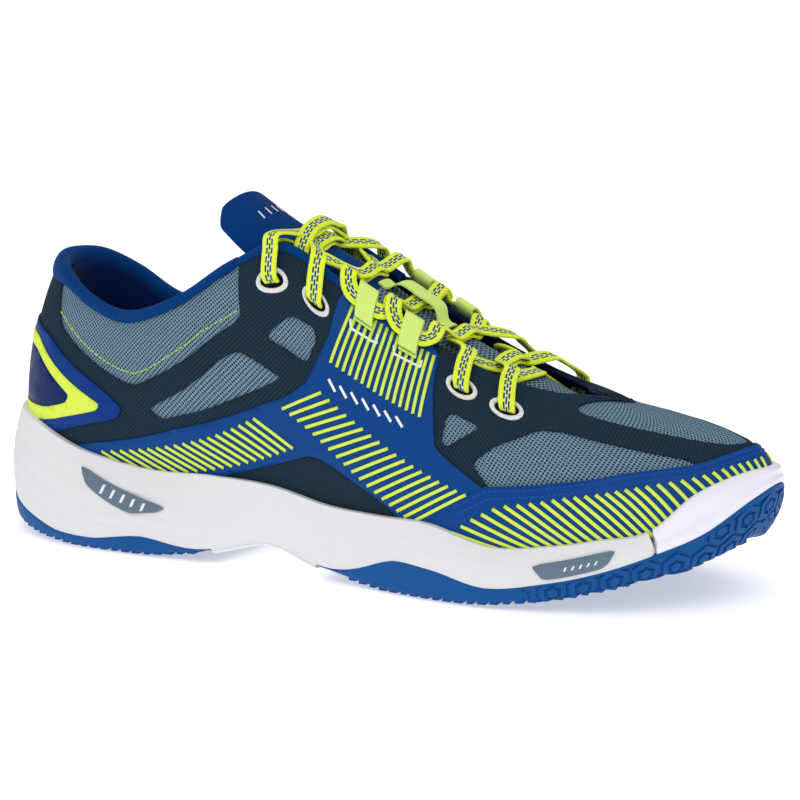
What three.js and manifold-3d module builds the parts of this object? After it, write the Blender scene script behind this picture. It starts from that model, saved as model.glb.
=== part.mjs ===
// Court shoe, right foot, lace-up low cut.
// +X runs from heel to toe, +Z is up, -Y is the lateral (outer) side. Millimetres.
// The origin is the middle of the shoe's bounding box, on the ground.
import * as THREE from 'three';
import { mergeVertices } from 'three/addons/utils/BufferGeometryUtils.js';
import Module from 'manifold-3d';

const wasm = await Module();
wasm.setup();

// ---------------------------------------------------------------- driving dimensions
const LATERAL = -1;
const MEDIAL = 1;
const MID_X = 151;              // shoe length / 2: moves the heel-back datum to the origin
const MID_Y = 0.64;             // centres the width, which is a little larger on the medial side
const GAP = 0.35;               // clearance kept between touching pieces
const TEXTILE = 1.2;            // knitted mesh thickness
const FILM = 0.5;               // welded film overlay thickness
const FILM_1 = 0.4;             // standoff of the first overlay layer from the mesh
const FILM_2 = 1.3;             // standoff of the second overlay layer
const FILM_3 = 2.2;             // standoff of the heel badge
const CUP = 2.2;                // standoff of the midsole cup from the mesh
const RIM = 1.3;                // thickness of the midsole's top edge
const PLATE = 3.4;              // outsole plate thickness
const LACE_WIDTH = 6;
const LACE_THICK = 1.3;
const THROAT_END = 14;          // pattern station where the throat closes into the vamp
const TOE = 16;                 // last pattern station, at the toe tip

// Pattern stations run from the heel centre (0) to the toe tip (16). At each one the upper is a
// cubic from the feather line, where it meets the sole, to the topline:
// foot [x, y, z], top [x, y, z], direction it faces in plan (degrees from straight out to the
// side, negative towards the heel), then how far the two handles lean out and rise.
const lateralStations = [
  [[9, 0, 27], [20, 0, 102.5], -90, 4.5, 23, 12, -24],
  [[12, 15, 26.8], [24, 14, 102], -62, 4.5, 23, 11, -22],
  [[25, 26, 26.2], [33, 24, 98], -25, 6, 22, 8, -20],
  [[46, 30, 25.5], [46, 29, 90.5], -5, 8, 21, 7, -18],
  [[74, 31, 24.5], [63, 30, 86], 0, 8, 20, 6, -17],
  [[102, 32, 23.5], [84, 29, 93.5], 0, 8, 20, 8, -20],
  [[128, 34, 22], [103, 25, 106.5], 2, 8, 22, 10, -26],
  [[152, 37, 20], [122, 21, 114], 5, 9, 24, 13, -30],
  [[175, 41, 18], [144, 20, 103], 6, 9, 22, 15, -26],
  [[197, 44, 17], [167, 19, 90], 3, 8, 20, 17, -20],
  [[218, 44, 17], [190, 18, 79], 6, 8, 20, 19, -14],
  [[238, 41, 18], [211, 16, 71.5], 14, 8, 20, 20, -8],
  [[254, 36.5, 20], [225, 11, 68], 24, 9, 20, 20, -4],
  [[268, 29, 22], [231, 5, 67], 36, 10, 20, 21, -3.5],
  [[279.5, 19.5, 24.5], [242, -4, 65], 52, 15, 19, 29, -3.5],
  [[287, 7.5, 27], [253, -4, 63.5], 72, 15, 18, 32, -4],
  [[290, -5, 28], [262, -4, 62.5], 90, 16, 17, 33, -4],
];
// The medial side shares the stations, with a straighter foot line and a lower topline.
const medialFootY = [0, 15, 25, 28.5, 28, 27.5, 28, 33, 38.5, 43.5, 45.5, 44.5, 40, 34, 26, 16.5, 5];
const medialTopZ = [102.5, 100.5, 93.5, 84, 80.5, 87, 101, 110.5, 101, 89, 78.5, 71, 68, 67, 65, 63.5, 62.5];

// Sole at the same stations: widest outline [x, lateral y, medial y], underside z,
// top edge of the outsole's side wall, top edge of the midsole or toe bumper.
const soleStations = [
  [1, 0, 0, 6, 15, 46],
  [5, 20, 19, 5, 14.5, 46],
  [20, 33, 32, 2, 9, 43],
  [44, 40, 38.5, 0, 3.8, 35.5],
  [73, 41, 38, 0, 7.3, 31],
  [102, 39.5, 35, 3.6, 7.4, 31.7],
  [126, 40, 34, 9, 13, 31],
  [147, 42, 38, 3.6, 7.7, 27],
  [175, 47.5, 45, 0, 12, 26.5],
  [197, 51, 50.5, 0, 11, 26.3],
  [218, 51.5, 53, 0.8, 7.2, 20.8],
  [240, 47.5, 50.5, 3.8, 10.5, 22.5],
  [257, 42.5, 46, 7.8, 15, 25.5],
  [272.5, 35, 39.5, 12, 21, 28.5],
  [286.5, 24, 31, 15.5, 28, 40.5],
  [297, 10, 19, 20, 37.5, 46],
  [301, -5, 5, 24, 41.5, 47.5],
];

const colours = {
  mesh: 0x8ca5b9, film: 0x202e3c, vamp: 0x38485a, blue: 0x003a85, collar: 0x00328c,
  navy: 0x001a50, lime: 0xd7f03c, lace: 0xe1f528, webbing: 0xd4ee7d, midsole: 0xdedede,
  bumper: 0xe6e6f2, outsole: 0x00509b, insert: 0x5a6c7d, ring: 0xf4f4f4, foam: 0x8a9099,
  board: 0xc9c3b4, counter: 0xb8b8b0, lining: 0x0a2a66, plastic: 0xe8f4a0,
};

// ---------------------------------------------------------------- curves over the stations
const V = (x, y, z) => new THREE.Vector3(x, y, z);

function handles(station, side) {
  const [foot, top, turn, lowOut, lowUp, highOut, highUp] = lateralStations[station];
  const angle = THREE.MathUtils.degToRad(turn);
  const facing = V(Math.sin(angle), side * Math.cos(angle), 0);
  const medial = side === MEDIAL;
  const onRidge = station >= THROAT_END;
  const footY = medial ? medialFootY[station] : -foot[1];
  const topY = onRidge ? -top[1] : side * top[1];
  const topZ = medial ? medialTopZ[station] : top[2];
  const start = V(foot[0], footY, foot[2]);
  const end = V(top[0], topY, topZ);
  const low = start.clone().addScaledVector(facing, lowOut).add(V(0, 0, lowUp));
  const high = end.clone().addScaledVector(facing, highOut).add(V(0, 0, highUp));
  return [start, low, high, end];
}

const sideHandles = new Map([LATERAL, MEDIAL].map((side) => [
  side, lateralStations.map((_, station) => handles(station, side))]));

// Stations continue past the heel and the toe onto the other side of the shoe.
function wrapped(list, side, station) {
  if (station < 0) return list.get(-side)[-station];
  if (station > TOE) return list.get(-side)[2 * TOE - station];
  return list.get(side)[station];
}

function blend(a, b, c, d, t) {
  const t2 = t * t;
  const t3 = t2 * t;
  return 0.5 * (2 * b + (c - a) * t + (2 * a - 5 * b + 4 * c - d) * t2 + (3 * b - a - 3 * c + d) * t3);
}

function blendPoints(points, t) {
  const [a, b, c, d] = points;
  return V(blend(a.x, b.x, c.x, d.x, t), blend(a.y, b.y, c.y, d.y, t), blend(a.z, b.z, c.z, d.z, t));
}

function handlesAt(side, u) {
  const station = Math.min(Math.max(Math.floor(u), 0), TOE - 1);
  const t = u - station;
  const around = [-1, 0, 1, 2].map((step) => wrapped(sideHandles, side, station + step));
  return [0, 1, 2, 3].map((k) => blendPoints(around.map((h) => h[k]), t));
}

// A point of the upper: u counts stations, h runs from the feather line (0) to the topline (1).
function upper(side, u, h) {
  const [a, b, c, d] = handlesAt(side, u);
  if (u >= THROAT_END) {
    d.add(handlesAt(-side, u)[3]).multiplyScalar(0.5);
  }
  const g = 1 - h;
  return a.multiplyScalar(g * g * g).addScaledVector(b, 3 * h * g * g)
    .addScaledVector(c, 3 * h * h * g).addScaledVector(d, h * h * h);
}

// The upper as one surface that carries on past the heel centre and the toe tip.
function carriedOn(surface, side, u, h) {
  if (u < 0) return surface(-side, -u, h);
  if (u > TOE) return surface(-side, 2 * TOE - u, h);
  return surface(side, u, h);
}

function sideNormal(side, u, h) {
  const step = 0.02;
  const low = Math.max(h - step, 0);
  const high = Math.min(h + step, 1);
  const along = carriedOn(upper, side, u + step, h).sub(carriedOn(upper, side, u - step, h));
  const up = upper(side, u, high).sub(upper(side, u, low));
  return along.cross(up).multiplyScalar(-side).normalize();
}

// Along the vamp ridge the two sides share one normal, so their layers meet there.
function upperNormal(side, u, h) {
  const normal = sideNormal(side, u, h);
  if (u < THROAT_END || h < 1) return normal;
  return normal.add(sideNormal(-side, u, h)).normalize();
}

// The same point, d millimetres outside the mesh's outer face (negative is inside the shoe).
function layer(side, u, h, d) {
  return upper(side, u, h).addScaledVector(upperNormal(side, u, h), d);
}

// A point e millimetres above (negative: below) the topline, d millimetres outside.
function collarPoint(side, u, e, d) {
  const top = upper(side, u, 1);
  const up = top.clone().sub(upper(side, u, 0.96));
  const perMillimetre = 0.04 / up.length();
  up.normalize();
  if (e > 0) return top.addScaledVector(up, e).addScaledVector(upperNormal(side, u, 1), d);
  return layer(side, u, 1 + e * perMillimetre, d);
}

function soleRow(side, station) {
  const beyond = station < 0 || station > TOE;
  const facing = beyond ? -side : side;
  const row = station > TOE ? 2 * TOE - station : Math.abs(station);
  const [x, lateralY, medialY, ...heights] = soleStations[row];
  return [x, facing === LATERAL ? -lateralY : medialY, ...heights];
}

// Widest outline x and y, underside, outsole edge and midsole rim heights at station u.
function soleAt(side, u) {
  const station = Math.min(Math.max(Math.floor(u), 0), TOE - 1);
  const around = [-1, 0, 1, 2].map((step) => soleRow(side, station + step));
  return [0, 1, 2, 3, 4].map((k) => blend(...around.map((row) => row[k]), u - station));
}

function solePoint(side, u) {
  const [x, y] = soleAt(side, u);
  return V(x, y, 0);
}

// A point of the sole's side, o millimetres outside the widest outline, at height z.
function soleSide(side, u, o, z) {
  const step = 0.05;
  const along = carriedOn(solePoint, side, u + step).sub(carriedOn(solePoint, side, u - step));
  const out = V(-side * along.y, side * along.x, 0).normalize();
  return solePoint(side, u).addScaledVector(out, o).setZ(z);
}

// Height fraction at which the upper passes a given height.
function heightFraction(side, u, z) {
  let low = 0;
  let high = 0.7;
  for (let k = 0; k < 24; k += 1) {
    const middle = (low + high) / 2;
    if (upper(side, u, middle).z < z) low = middle;
    else high = middle;
  }
  return low;
}

// ---------------------------------------------------------------- solids from surfaces
const range = (from, to, count) =>
  Array.from({ length: count + 1 }, (_, k) => from + ((to - from) * k) / count);

function geometryFrom(points, triangles) {
  const geometry = new THREE.BufferGeometry();
  geometry.setAttribute('position', new THREE.Float32BufferAttribute(
    points.flatMap((p) => [p.x - MID_X, p.y - MID_Y, p.z]), 3));
  geometry.setIndex(triangles.flat());
  return geometry;
}

// Two walls that meet face to face, as along the vamp ridge, cancel and the piece is one there.
function withoutBackToBack(triangles) {
  const faces = new Map();
  triangles.forEach((triangle) => {
    const key = [...triangle].sort((a, b) => a - b).join();
    if (faces.has(key)) faces.delete(key);
    else faces.set(key, triangle);
  });
  return [...faces.values()];
}

function tidySolid(geometry) {
  const merged = mergeVertices(geometry, 1e-3);
  const position = merged.getAttribute('position');
  const index = merged.getIndex().array;
  const kept = [];
  let volume = 0;
  for (let k = 0; k < index.length; k += 3) {
    const [a, b, c] = [index[k], index[k + 1], index[k + 2]];
    if (a === b || b === c || c === a) continue;
    kept.push([a, b, c]);
    const [p, q, r] = [a, b, c].map((i) => V().fromBufferAttribute(position, i));
    volume += p.dot(q.cross(r));
  }
  const open = withoutBackToBack(kept);
  const faced = volume < 0 ? open.map(([a, b, c]) => [a, c, b]) : open;
  const solid = new THREE.BufferGeometry();
  solid.setAttribute('position', position);
  solid.setIndex(faced.flat());
  return solid;
}

// Loft through closed sections of equal point counts. A section lists one wall and then the
// facing wall backwards, so its end caps are strips between the two.
function loft(sections, closed = false) {
  const count = sections[0].length;
  const points = sections.flat();
  const triangles = [];
  const quad = (a, b, c, d) => {
    const shortWay = points[a].distanceTo(points[c]) <= points[b].distanceTo(points[d]);
    if (shortWay) triangles.push([a, b, c], [a, c, d]);
    else triangles.push([a, b, d], [b, c, d]);
  };
  const last = closed ? sections.length : sections.length - 1;
  for (let s = 0; s < last; s += 1) {
    const here = s * count;
    const next = ((s + 1) % sections.length) * count;
    for (let k = 0; k < count; k += 1) {
      const m = (k + 1) % count;
      quad(here + k, here + m, next + m, next + k);
    }
  }
  if (!closed) {
    const end = (sections.length - 1) * count;
    for (let k = 0; k < count / 2 - 1; k += 1) {
      const m = count - 1 - k;
      quad(k, m, m - 1, k + 1);
      quad(end + k, end + k + 1, end + m - 1, end + m);
    }
  }
  return tidySolid(geometryFrom(points, triangles));
}

// A layer of the upper. spans lists [side, u, lowest h, highest h]; inner and outer are its
// faces' distances from the mesh. Every layer bends at the same rows and stations, so that
// stacked layers keep their distance.
const ROWS = range(0, 1, 6);
function wrap(spans, inner, outer) {
  const depth = (d, u, h) => (typeof d === 'function' ? d(u, h) : d);
  return loft(spans.map(([side, u, low, high]) => {
    const heights = ROWS.map((h) => Math.min(Math.max(h, low), high));
    const wall = (d) => heights.map((h) => layer(side, u, h, depth(d, u, h)));
    return [...wall(outer), ...wall(inner).reverse()];
  }));
}

// Height on a panel's edge, a list of [u, h] in order of u.
function edgeHeight(edge, u) {
  const k = Math.min(Math.max(edge.findIndex((point) => point[0] >= u), 1), edge.length - 1);
  const [from, to] = [edge[k - 1], edge[k]];
  return from[1] + ((to[1] - from[1]) * (u - from[0])) / (to[0] - from[0]);
}

// Stations shared by every piece.
const sideSteps = range(0, TOE, 2 * TOE);
const stepsBetween = (from, to) => [from, ...sideSteps.filter((u) => u > from + 0.05 && u < to - 0.05), to];

// One panel on one side, between its low and high edges.
const panel = (side, lowEdge, highEdge, layerBounds) => {
  const from = Math.max(lowEdge[0][0], highEdge[0][0]);
  const to = Math.min(lowEdge.at(-1)[0], highEdge.at(-1)[0]);
  const spans = stepsBetween(from, to).map((u) => [side, u, edgeHeight(lowEdge, u), edgeHeight(highEdge, u)]);
  return wrap(spans, ...layerBounds);
};

// Both sides of a piece that spans the sole: chain(side, u) lists its wall, bottom to top.
function acrossSole(stations, chain) {
  return loft(stations.map((u) => [...chain(LATERAL, u), ...chain(MEDIAL, u).reverse()]));
}

function solidOf(geometry) {
  const merged = mergeVertices(geometry);
  return new wasm.Manifold(new wasm.Mesh({
    numProp: 3,
    vertProperties: new Float32Array(merged.getAttribute('position').array),
    triVerts: new Uint32Array(merged.getIndex().array),
  }));
}

function geometryOf(solid) {
  const mesh = solid.getMesh();
  const geometry = new THREE.BufferGeometry();
  geometry.setAttribute('position', new THREE.BufferAttribute(new Float32Array(mesh.vertProperties), 3));
  geometry.setIndex(new THREE.BufferAttribute(new Uint32Array(mesh.triVerts), 1));
  return geometry;
}

// Cuts the tools away and keeps the piece, without any crumb left loose by a cut.
function cut(geometry, tools) {
  const rest = tools.reduce((solid, tool) => solid.subtract(solidOf(tool)), solidOf(geometry));
  const [largest] = rest.simplify(0.01).decompose().sort((a, b) => b.volume() - a.volume());
  return geometryOf(largest);
}

// ---------------------------------------------------------------- the parts go in one group
const group = new THREE.Group();

function add(name, geometry, colour, roughness = 0.7) {
  const flat = geometry.toNonIndexed();
  flat.computeVertexNormals();
  const material = new THREE.MeshStandardMaterial({ color: colour, roughness, metalness: 0 });
  const mesh = new THREE.Mesh(flat, material);
  mesh.name = name;
  group.add(mesh);
}

const sideName = (side) => (side === LATERAL ? 'lateral' : 'medial');
const bothSides = [LATERAL, MEDIAL];

// Round the heel, or round the toe, from the lateral side to the medial side.
const roundHeel = (reach) => [
  ...stepsBetween(0, reach).map((u) => [LATERAL, u]).reverse(),
  ...stepsBetween(0, reach).slice(1).map((u) => [MEDIAL, u]),
];
const roundToe = (from) => [
  ...stepsBetween(from, TOE).map((u) => [LATERAL, u]),
  ...stepsBetween(from, TOE).slice(0, -1).map((u) => [MEDIAL, u]).reverse(),
];

// ---------------------------------------------------------------- the upper's layers
// A point near [u, h]: a millimetres towards the toe, b millimetres towards the topline.
function nearby(side, [u, h], a, b, d) {
  const step = 0.02;
  const perStation = upper(side, u + step, h).distanceTo(upper(side, u - step, h)) / (2 * step);
  const perHeight = upper(side, u, h + step).distanceTo(upper(side, u, h - step)) / (2 * step);
  return layer(side, u + a / perStation, h + b / perHeight, d);
}

const EYELET_LONG = 6.2;
const EYELET_SHORT = 4.8;
const HOLE_LONG = 4.5;
const HOLE_SHORT = 3;
const eyelets = [[6.85, 0.87], [7.65, 0.86], [10.15, 0.83], [10.9, 0.78]];

function oval(side, place, long, short, d, sides = 10) {
  return range(0, 1, sides).slice(0, -1).map((t) => {
    const angle = 2 * Math.PI * (t + 0.5 / sides);
    return nearby(side, place, long * Math.cos(angle), short * Math.sin(angle), d);
  });
}

const holeTools = (side) => eyelets.map((place) => loft([-4, 3].map((d) => (
  oval(side, place, HOLE_LONG, HOLE_SHORT, d)))));

// One bootie of mesh, open at the collar and the throat.
const bootieSections = [...roundHeel(TOE).slice(0, -1)].map(([side, u]) => {
  const wall = (d) => ROWS.map((h) => layer(side, u, h, d));
  return [...wall(0), ...wall(-TEXTILE).reverse()];
});
add('upper_mesh', cut(loft(bootieSections, true), bothSides.flatMap(holeTools)), colours.mesh);

// First layer: dark film, below the collar's mesh window and up to the throat edge.
const film1 = [FILM_1, FILM_1 + FILM];
const film2 = [FILM_2, FILM_2 + FILM];
const film3 = [FILM_3, FILM_3 + FILM];
const quarterLow = [[0.3, 0], [11.5, 0]];
const quarterHigh = [
  [0.3, 0.86], [1.6, 0.84], [2.4, 0.72], [3.1, 0.65], [3.9, 0.57], [4.4, 0.61], [5.4, 0.71], [6, 0.76],
  [6.5, 0.97], [11.5, 0.98],
];
bothSides.forEach((side) => {
  const sheet = panel(side, quarterLow, quarterHigh, film1);
  add(`quarter_film_${sideName(side)}`, cut(sheet, holeTools(side)), colours.film, 0.5);
});
const vampSpans = roundToe(11.7).map(([side, u]) => [side, u, 0, u < THROAT_END ? 0.98 : 1]);
add('vamp_film', wrap(vampSpans, ...film1), colours.vamp, 0.5);

// Second layer: the blue saddle, its band back to the heel, the mudguard and the heel patch.
const saddleLow = [
  [7.15, 0.5], [7.25, 0.36], [7.75, 0.24], [8.3, 0.14], [8.45, 0], [8.6, 0], [8.9, 0.13], [9.5, 0.26],
];
const saddleHigh = [[7.15, 0.54], [7.6, 0.66], [8.1, 0.82], [9.5, 0.82]];
const bandLow = [[2.6, 0], [3.8, 0], [5, 0.12], [5.85, 0.2], [6.7, 0.27], [7.05, 0.3]];
const bandHigh = [[2.6, 0.13], [3.72, 0.26], [4.62, 0.36], [5.5, 0.41], [6.35, 0.46], [7.05, 0.5]];
bothSides.forEach((side) => {
  add(`saddle_${sideName(side)}`, panel(side, saddleLow, saddleHigh, film2), colours.blue, 0.45);
  add(`rear_band_${sideName(side)}`, panel(side, bandLow, bandHigh, film2), colours.blue, 0.45);
});
const guardEdge = [
  [9, 0.04], [10.2, 0.33], [11.38, 0.39], [13.12, 0.42], [14.25, 0.46], [15.05, 0.52], [16, 0.56],
];
const guardSpans = roundToe(9).map(([side, u]) => [side, u, 0, edgeHeight(guardEdge, u)]);
add('mudguard', wrap(guardSpans, ...film2), colours.blue, 0.45);
const patchHigh = [[0, 0.69], [2.1, 0.65], [2.92, 0.58], [3.42, 0.52], [3.7, 0.44]];
const patchLow = [[0, 0.2], [2.25, 0.2], [2.92, 0.28], [3.42, 0.34], [3.7, 0.38]];
// A piece round the heel between two edges.
const heelPanel = (reach, lowEdge, highEdge, layerBounds) => wrap(roundHeel(reach).map(([side, u]) => (
  [side, u, edgeHeight(lowEdge, u), edgeHeight(highEdge, u)])), ...layerBounds);
add('heel_patch', heelPanel(3.7, patchLow, patchHigh, film2), colours.blue, 0.45);
const badgeHigh = [[0, 0.63], [1.7, 0.6], [2.6, 0.51], [3.3, 0.44]];
const badgeLow = [[0, 0.31], [2, 0.3], [2.7, 0.34], [3.3, 0.39]];
add('heel_badge', heelPanel(3.3, badgeLow, badgeHigh, film3), colours.lime, 0.5);

// ---------------------------------------------------------------- collar
const COLLAR_END = 6.1;
const bindingSection = [
  [-6, 1.2], [-0.2, 1.1], [1.1, 0.2], [1.1, -1.5], [-0.2, -2.6], [-6, -2.7],
  [-6, -1.9], [-0.1, -1.7], [0.4, -1.2], [0.4, 0], [-0.1, 0.4], [-6, 0.5],
];
const INSIDE = -TEXTILE - 0.7;  // outer face of what lies against the mesh's inside
const collarSections = (reach, section) => roundHeel(reach).map(([side, u]) => (
  section.map(([e, d]) => collarPoint(side, u, e, d))));
add('collar_binding', loft(collarSections(COLLAR_END, bindingSection)), colours.collar, 0.9);
const FOAM_THICK = 5.5;
const FOAM_TOP = 0.88;
const FOAM_LOW = 0.52;
// The lining follows the collar foam's bulge and then lies back against the counter.
const bulge = (u, h) => {
  const taper = Math.min(1, Math.max((COLLAR_END - u) / 0.6, 0.1));
  const within = Math.min(Math.max((1 - h) / (1 - FOAM_LOW), 0), 1);
  return FOAM_THICK * Math.sin(Math.PI * within) * taper;
};
const liningDepth = (u, h) => INSIDE - 1.7 - bulge(u, h);
const foamSpans = roundHeel(COLLAR_END - 0.8).map(([side, u]) => [side, u, FOAM_LOW + 0.04, FOAM_TOP]);
add('collar_foam', wrap(foamSpans, (u, h) => liningDepth(u, h) + 0.5, INSIDE), colours.foam, 1);
const liningSpans = roundHeel(COLLAR_END).map(([side, u]) => [side, u, 0.05, 0.985]);
add('collar_lining', wrap(liningSpans, (u, h) => liningDepth(u, h) - 0.9, liningDepth), colours.lining, 1);
const counterSpans = roundHeel(4.4).map(([side, u]) => [side, u, 0.06, 0.46 - 0.012 * u * u]);
add('heel_counter', wrap(counterSpans, INSIDE - 1, INSIDE), colours.counter, 0.5);
const puffSpans = roundToe(13.6).map(([side, u]) => [side, u, 0.1, 0.58]);
add('toe_puff', wrap(puffSpans, INSIDE - 1.3, INSIDE - 0.4), colours.counter, 0.6);

// ---------------------------------------------------------------- sole
const feather = (side, u, inset, z) => {
  const p = layer(side, u, 0, 0);
  const out = upperNormal(side, u, 0).setZ(0).normalize();
  return p.addScaledVector(out, -inset).setZ(z);
};
const footbed = (side, u) => (upper(LATERAL, u, 0).z + upper(MEDIAL, u, 0).z) / 2;
const flatPiece = (stations, inset, low, high, lift = () => 0) => acrossSole(stations, (side, u) => [
  feather(side, u, inset, footbed(side, u) + low + lift(u)),
  feather(side, u, inset, footbed(side, u) + high + lift(u)),
]);
add('strobel_board', flatPiece(sideSteps, 2.2, -0.9, 0.6), colours.board, 1);
add('insole', flatPiece(sideSteps.slice(2, -1), 5.2, 1, 5), colours.navy, 1);

// The upper's outer volume, which the midsole cup is cut to fit.
const plugRings = [-0.06, ...ROWS.slice(0, 5)];
const plug = acrossSole(sideSteps, (side, u) => plugRings.map((h) => (
  h < 0 ? layer(side, u, 0, CUP).add(V(0, 0, -2.2)) : layer(side, u, h, CUP))));

const SOLE_GAP = 1.1;           // the foam and rubber bend apart between stations
const HEEL_SOLE_END = 5;
const FORE_SOLE_START = 7;
const BUMPER_START = 13.1;
function soleLevels(side, u) {
  const [, , bottom, edge, rim] = soleAt(side, u);
  const low = Math.max(bottom, 0);
  return { low, edge: Math.max(edge, low + PLATE + 1), rim };
}
const toeRoll = (u) => 6 * THREE.MathUtils.smoothstep(u, 12, 15.5);
const midsoleWall = (side, u) => {
  const { low, edge, rim } = soleLevels(side, u);
  const bare = u > HEEL_SOLE_END + 0.5 && u < FORE_SOLE_START - 0.5;
  const bumpered = u > BUMPER_START - 0.3;
  const top = bumpered ? edge : rim;
  const h = heightFraction(side, u, top);
  const core = bare ? 0 : -2.4 - SOLE_GAP;
  const base = bare ? low : low + PLATE + SOLE_GAP;
  const shelf = Math.min(edge + SOLE_GAP, top - 0.3);
  const underBumper = [[core, shelf], [core, top - 0.1], [core, top]];
  const cupSide = [[-0.4, shelf], [0, (shelf + top) / 2]];
  return [
    soleSide(side, u, core - 1.7 - toeRoll(u), base),
    soleSide(side, u, core - 0.5 * toeRoll(u), base + 1),
    soleSide(side, u, core, shelf - 0.1),
    ...(bumpered ? underBumper : cupSide).map(([o, z]) => soleSide(side, u, o, z)),
    ...(bumpered ? [] : [layer(side, u, h, CUP + RIM).setZ(top)]),
    layer(side, u, h, 0).setZ(top),
  ];
};
const cushionPlace = { x: 48, y: -1, low: 17, long: 25, wide: 18, high: 5.5 };
const disc = (grow, low, high) => [low, high].map((z) => range(0, 1, 16).slice(0, -1).map((t) => {
  const angle = 2 * Math.PI * (t + 1 / 32);
  return V(cushionPlace.x + (cushionPlace.long + grow) * Math.cos(angle),
    cushionPlace.y + (cushionPlace.wide + grow) * Math.sin(angle), z);
}));
const insertPlaces = [
  { name: 'heel', from: 3.1, to: 4.3, low: [0.64, 0.38], high: [0.82, 0.5] },
  { name: 'forefoot', from: 10.75, to: 12.25, low: [0.15, 0.15], high: [0.58, 0.65] },
];
// A plate on the midsole's side wall, between two fractions of the wall's height.
function sidePlate(side, { from, to, low, high }, inner, outer, grow = 0) {
  const height = (u, f) => {
    const [, , , edge, rim] = soleAt(side, u);
    return edge + (rim - edge) * f;
  };
  return loft(range(from - grow, to + grow, 6).map((u) => {
    const t = (u - from) / (to - from);
    const fractions = [low[0] + (low[1] - low[0]) * t - grow, high[0] + (high[1] - high[0]) * t + grow];
    const wall = (o) => fractions.map((f) => soleSide(side, u, o, height(u, f)));
    return [...wall(outer), ...wall(inner).reverse()];
  }));
}
const pockets = bothSides.flatMap((side) => insertPlaces.map((place) => sidePlate(side, place, -3, 3, 0.06)));
const cushionPocket = loft(disc(GAP, cushionPlace.low, 40));
const midsole = cut(acrossSole(sideSteps, midsoleWall), [plug, cushionPocket, ...pockets]);
add('midsole', midsole, colours.midsole, 0.6);
const cushionTop = cushionPlace.low + cushionPlace.high;
add('heel_cushion', loft(disc(0, cushionPlace.low + GAP, cushionTop)), colours.lime, 0.8);
bothSides.forEach((side) => insertPlaces.forEach((place) => {
  const plate = sidePlate(side, place, -2.6, 0);
  add(`${place.name}_insert_${sideName(side)}`, plate, colours.insert, 0.4);
}));
const outsoleWall = (side, u) => {
  const { low, edge } = soleLevels(side, u);
  return [
    soleSide(side, u, -5 - toeRoll(u), low),
    soleSide(side, u, -1.6 - 0.9 * toeRoll(u), low + 1),
    soleSide(side, u, -0.2 * toeRoll(u), (low + edge) / 2),
    soleSide(side, u, 0, edge),
    soleSide(side, u, -2.4, edge),
    soleSide(side, u, -2.6 - 0.3 * toeRoll(u), low + PLATE + 0.8),
    soleSide(side, u, -4.2 - 0.8 * toeRoll(u), low + PLATE),
  ];
};
add('outsole_heel', acrossSole(stepsBetween(0, HEEL_SOLE_END), outsoleWall), colours.outsole, 0.8);
add('outsole_forefoot', acrossSole(stepsBetween(FORE_SOLE_START, TOE), outsoleWall), colours.outsole, 0.8);
const bumperSections = roundToe(BUMPER_START).map(([side, u]) => {
  const { edge, rim } = soleLevels(side, u);
  const foot = edge + GAP;
  const onUpper = (z, d) => layer(side, u, heightFraction(side, u, z), d).setZ(z);
  return [
    soleSide(side, u, -0.2, foot),
    soleSide(side, u, -0.6, (foot + rim) / 2),
    onUpper(rim, CUP + 1.9),
    onUpper(rim, CUP + 0.5),
    onUpper((foot + rim) / 2, CUP + 0.7),
    onUpper(foot, CUP + 0.7),
  ];
});
add('toe_bumper', loft(bumperSections), colours.bumper, 0.25);

// ---------------------------------------------------------------- tongue
// Crown line of the tongue's top face, [x, z], from under the vamp up to the tip.
const tongueCrown = [
  [243, 60], [232, 63.8], [211, 71.5], [190, 80], [167, 90.7], [144, 103.5], [122, 114.6],
  [109, 121], [95, 128.5],
];
const tongueCurve = new THREE.CatmullRomCurve3(tongueCrown.map(([x, z]) => V(x, 0, z)));
const TONGUE_HINGE = 112;       // where the free tip bends, just above the top lace crossing
const HINGE_ROOM = 1.6;

function crownAt(x) {
  let low = 0;
  let high = 1;
  for (let k = 0; k < 24; k += 1) {
    const middle = (low + high) / 2;
    if (tongueCurve.getPoint(middle).x > x) low = middle;
    else high = middle;
  }
  const along = tongueCurve.getTangent(low);
  return { point: tongueCurve.getPoint(low), up: V(-along.z, 0, along.x).multiplyScalar(-1).normalize() };
}

const rise = (x, from, to, by) => by * THREE.MathUtils.smoothstep(x, from, to);
const archAt = (x) => 0.018 + rise(x, 92, 118, 0.013) - rise(x, 130, 170, 0.004);
// A point of the tongue: y from its crown line, d above its top face.
function tonguePoint(x, y, d) {
  const { point, up } = crownAt(x);
  return point.addScaledVector(up, d - archAt(x) * y * y).add(V(0, y, 0));
}
const halfWidth = (x) => 18.6 + rise(x, 135, 170, 4) - rise(x, 175, 240, 12);
function tongueSlab(from, to, steps, thick, widthAt) {
  return loft(range(from, to, steps).map((x) => {
    const across = range(-1, 1, 8).map((t) => t * widthAt(x));
    const wall = (d) => across.map((y) => tonguePoint(x, y, d));
    const edge = 0.35 * thick;
    const under = across.map((y, k) => tonguePoint(x, y, -(k === 0 || k === 8 ? edge : thick)));
    return [...wall(0), ...under.reverse()];
  }));
}
const tipRound = (x) => halfWidth(x) - 3.6 * Math.max(0, (99 - x) / 4) ** 2;
add('tongue_lower', tongueSlab(241, TONGUE_HINGE + HINGE_ROOM / 2, 15, 4.5, halfWidth), colours.mesh, 0.9);
add('tongue_tip', tongueSlab(TONGUE_HINGE - HINGE_ROOM / 2, 95, 6, 6, tipRound), colours.blue, 0.6);

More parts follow.
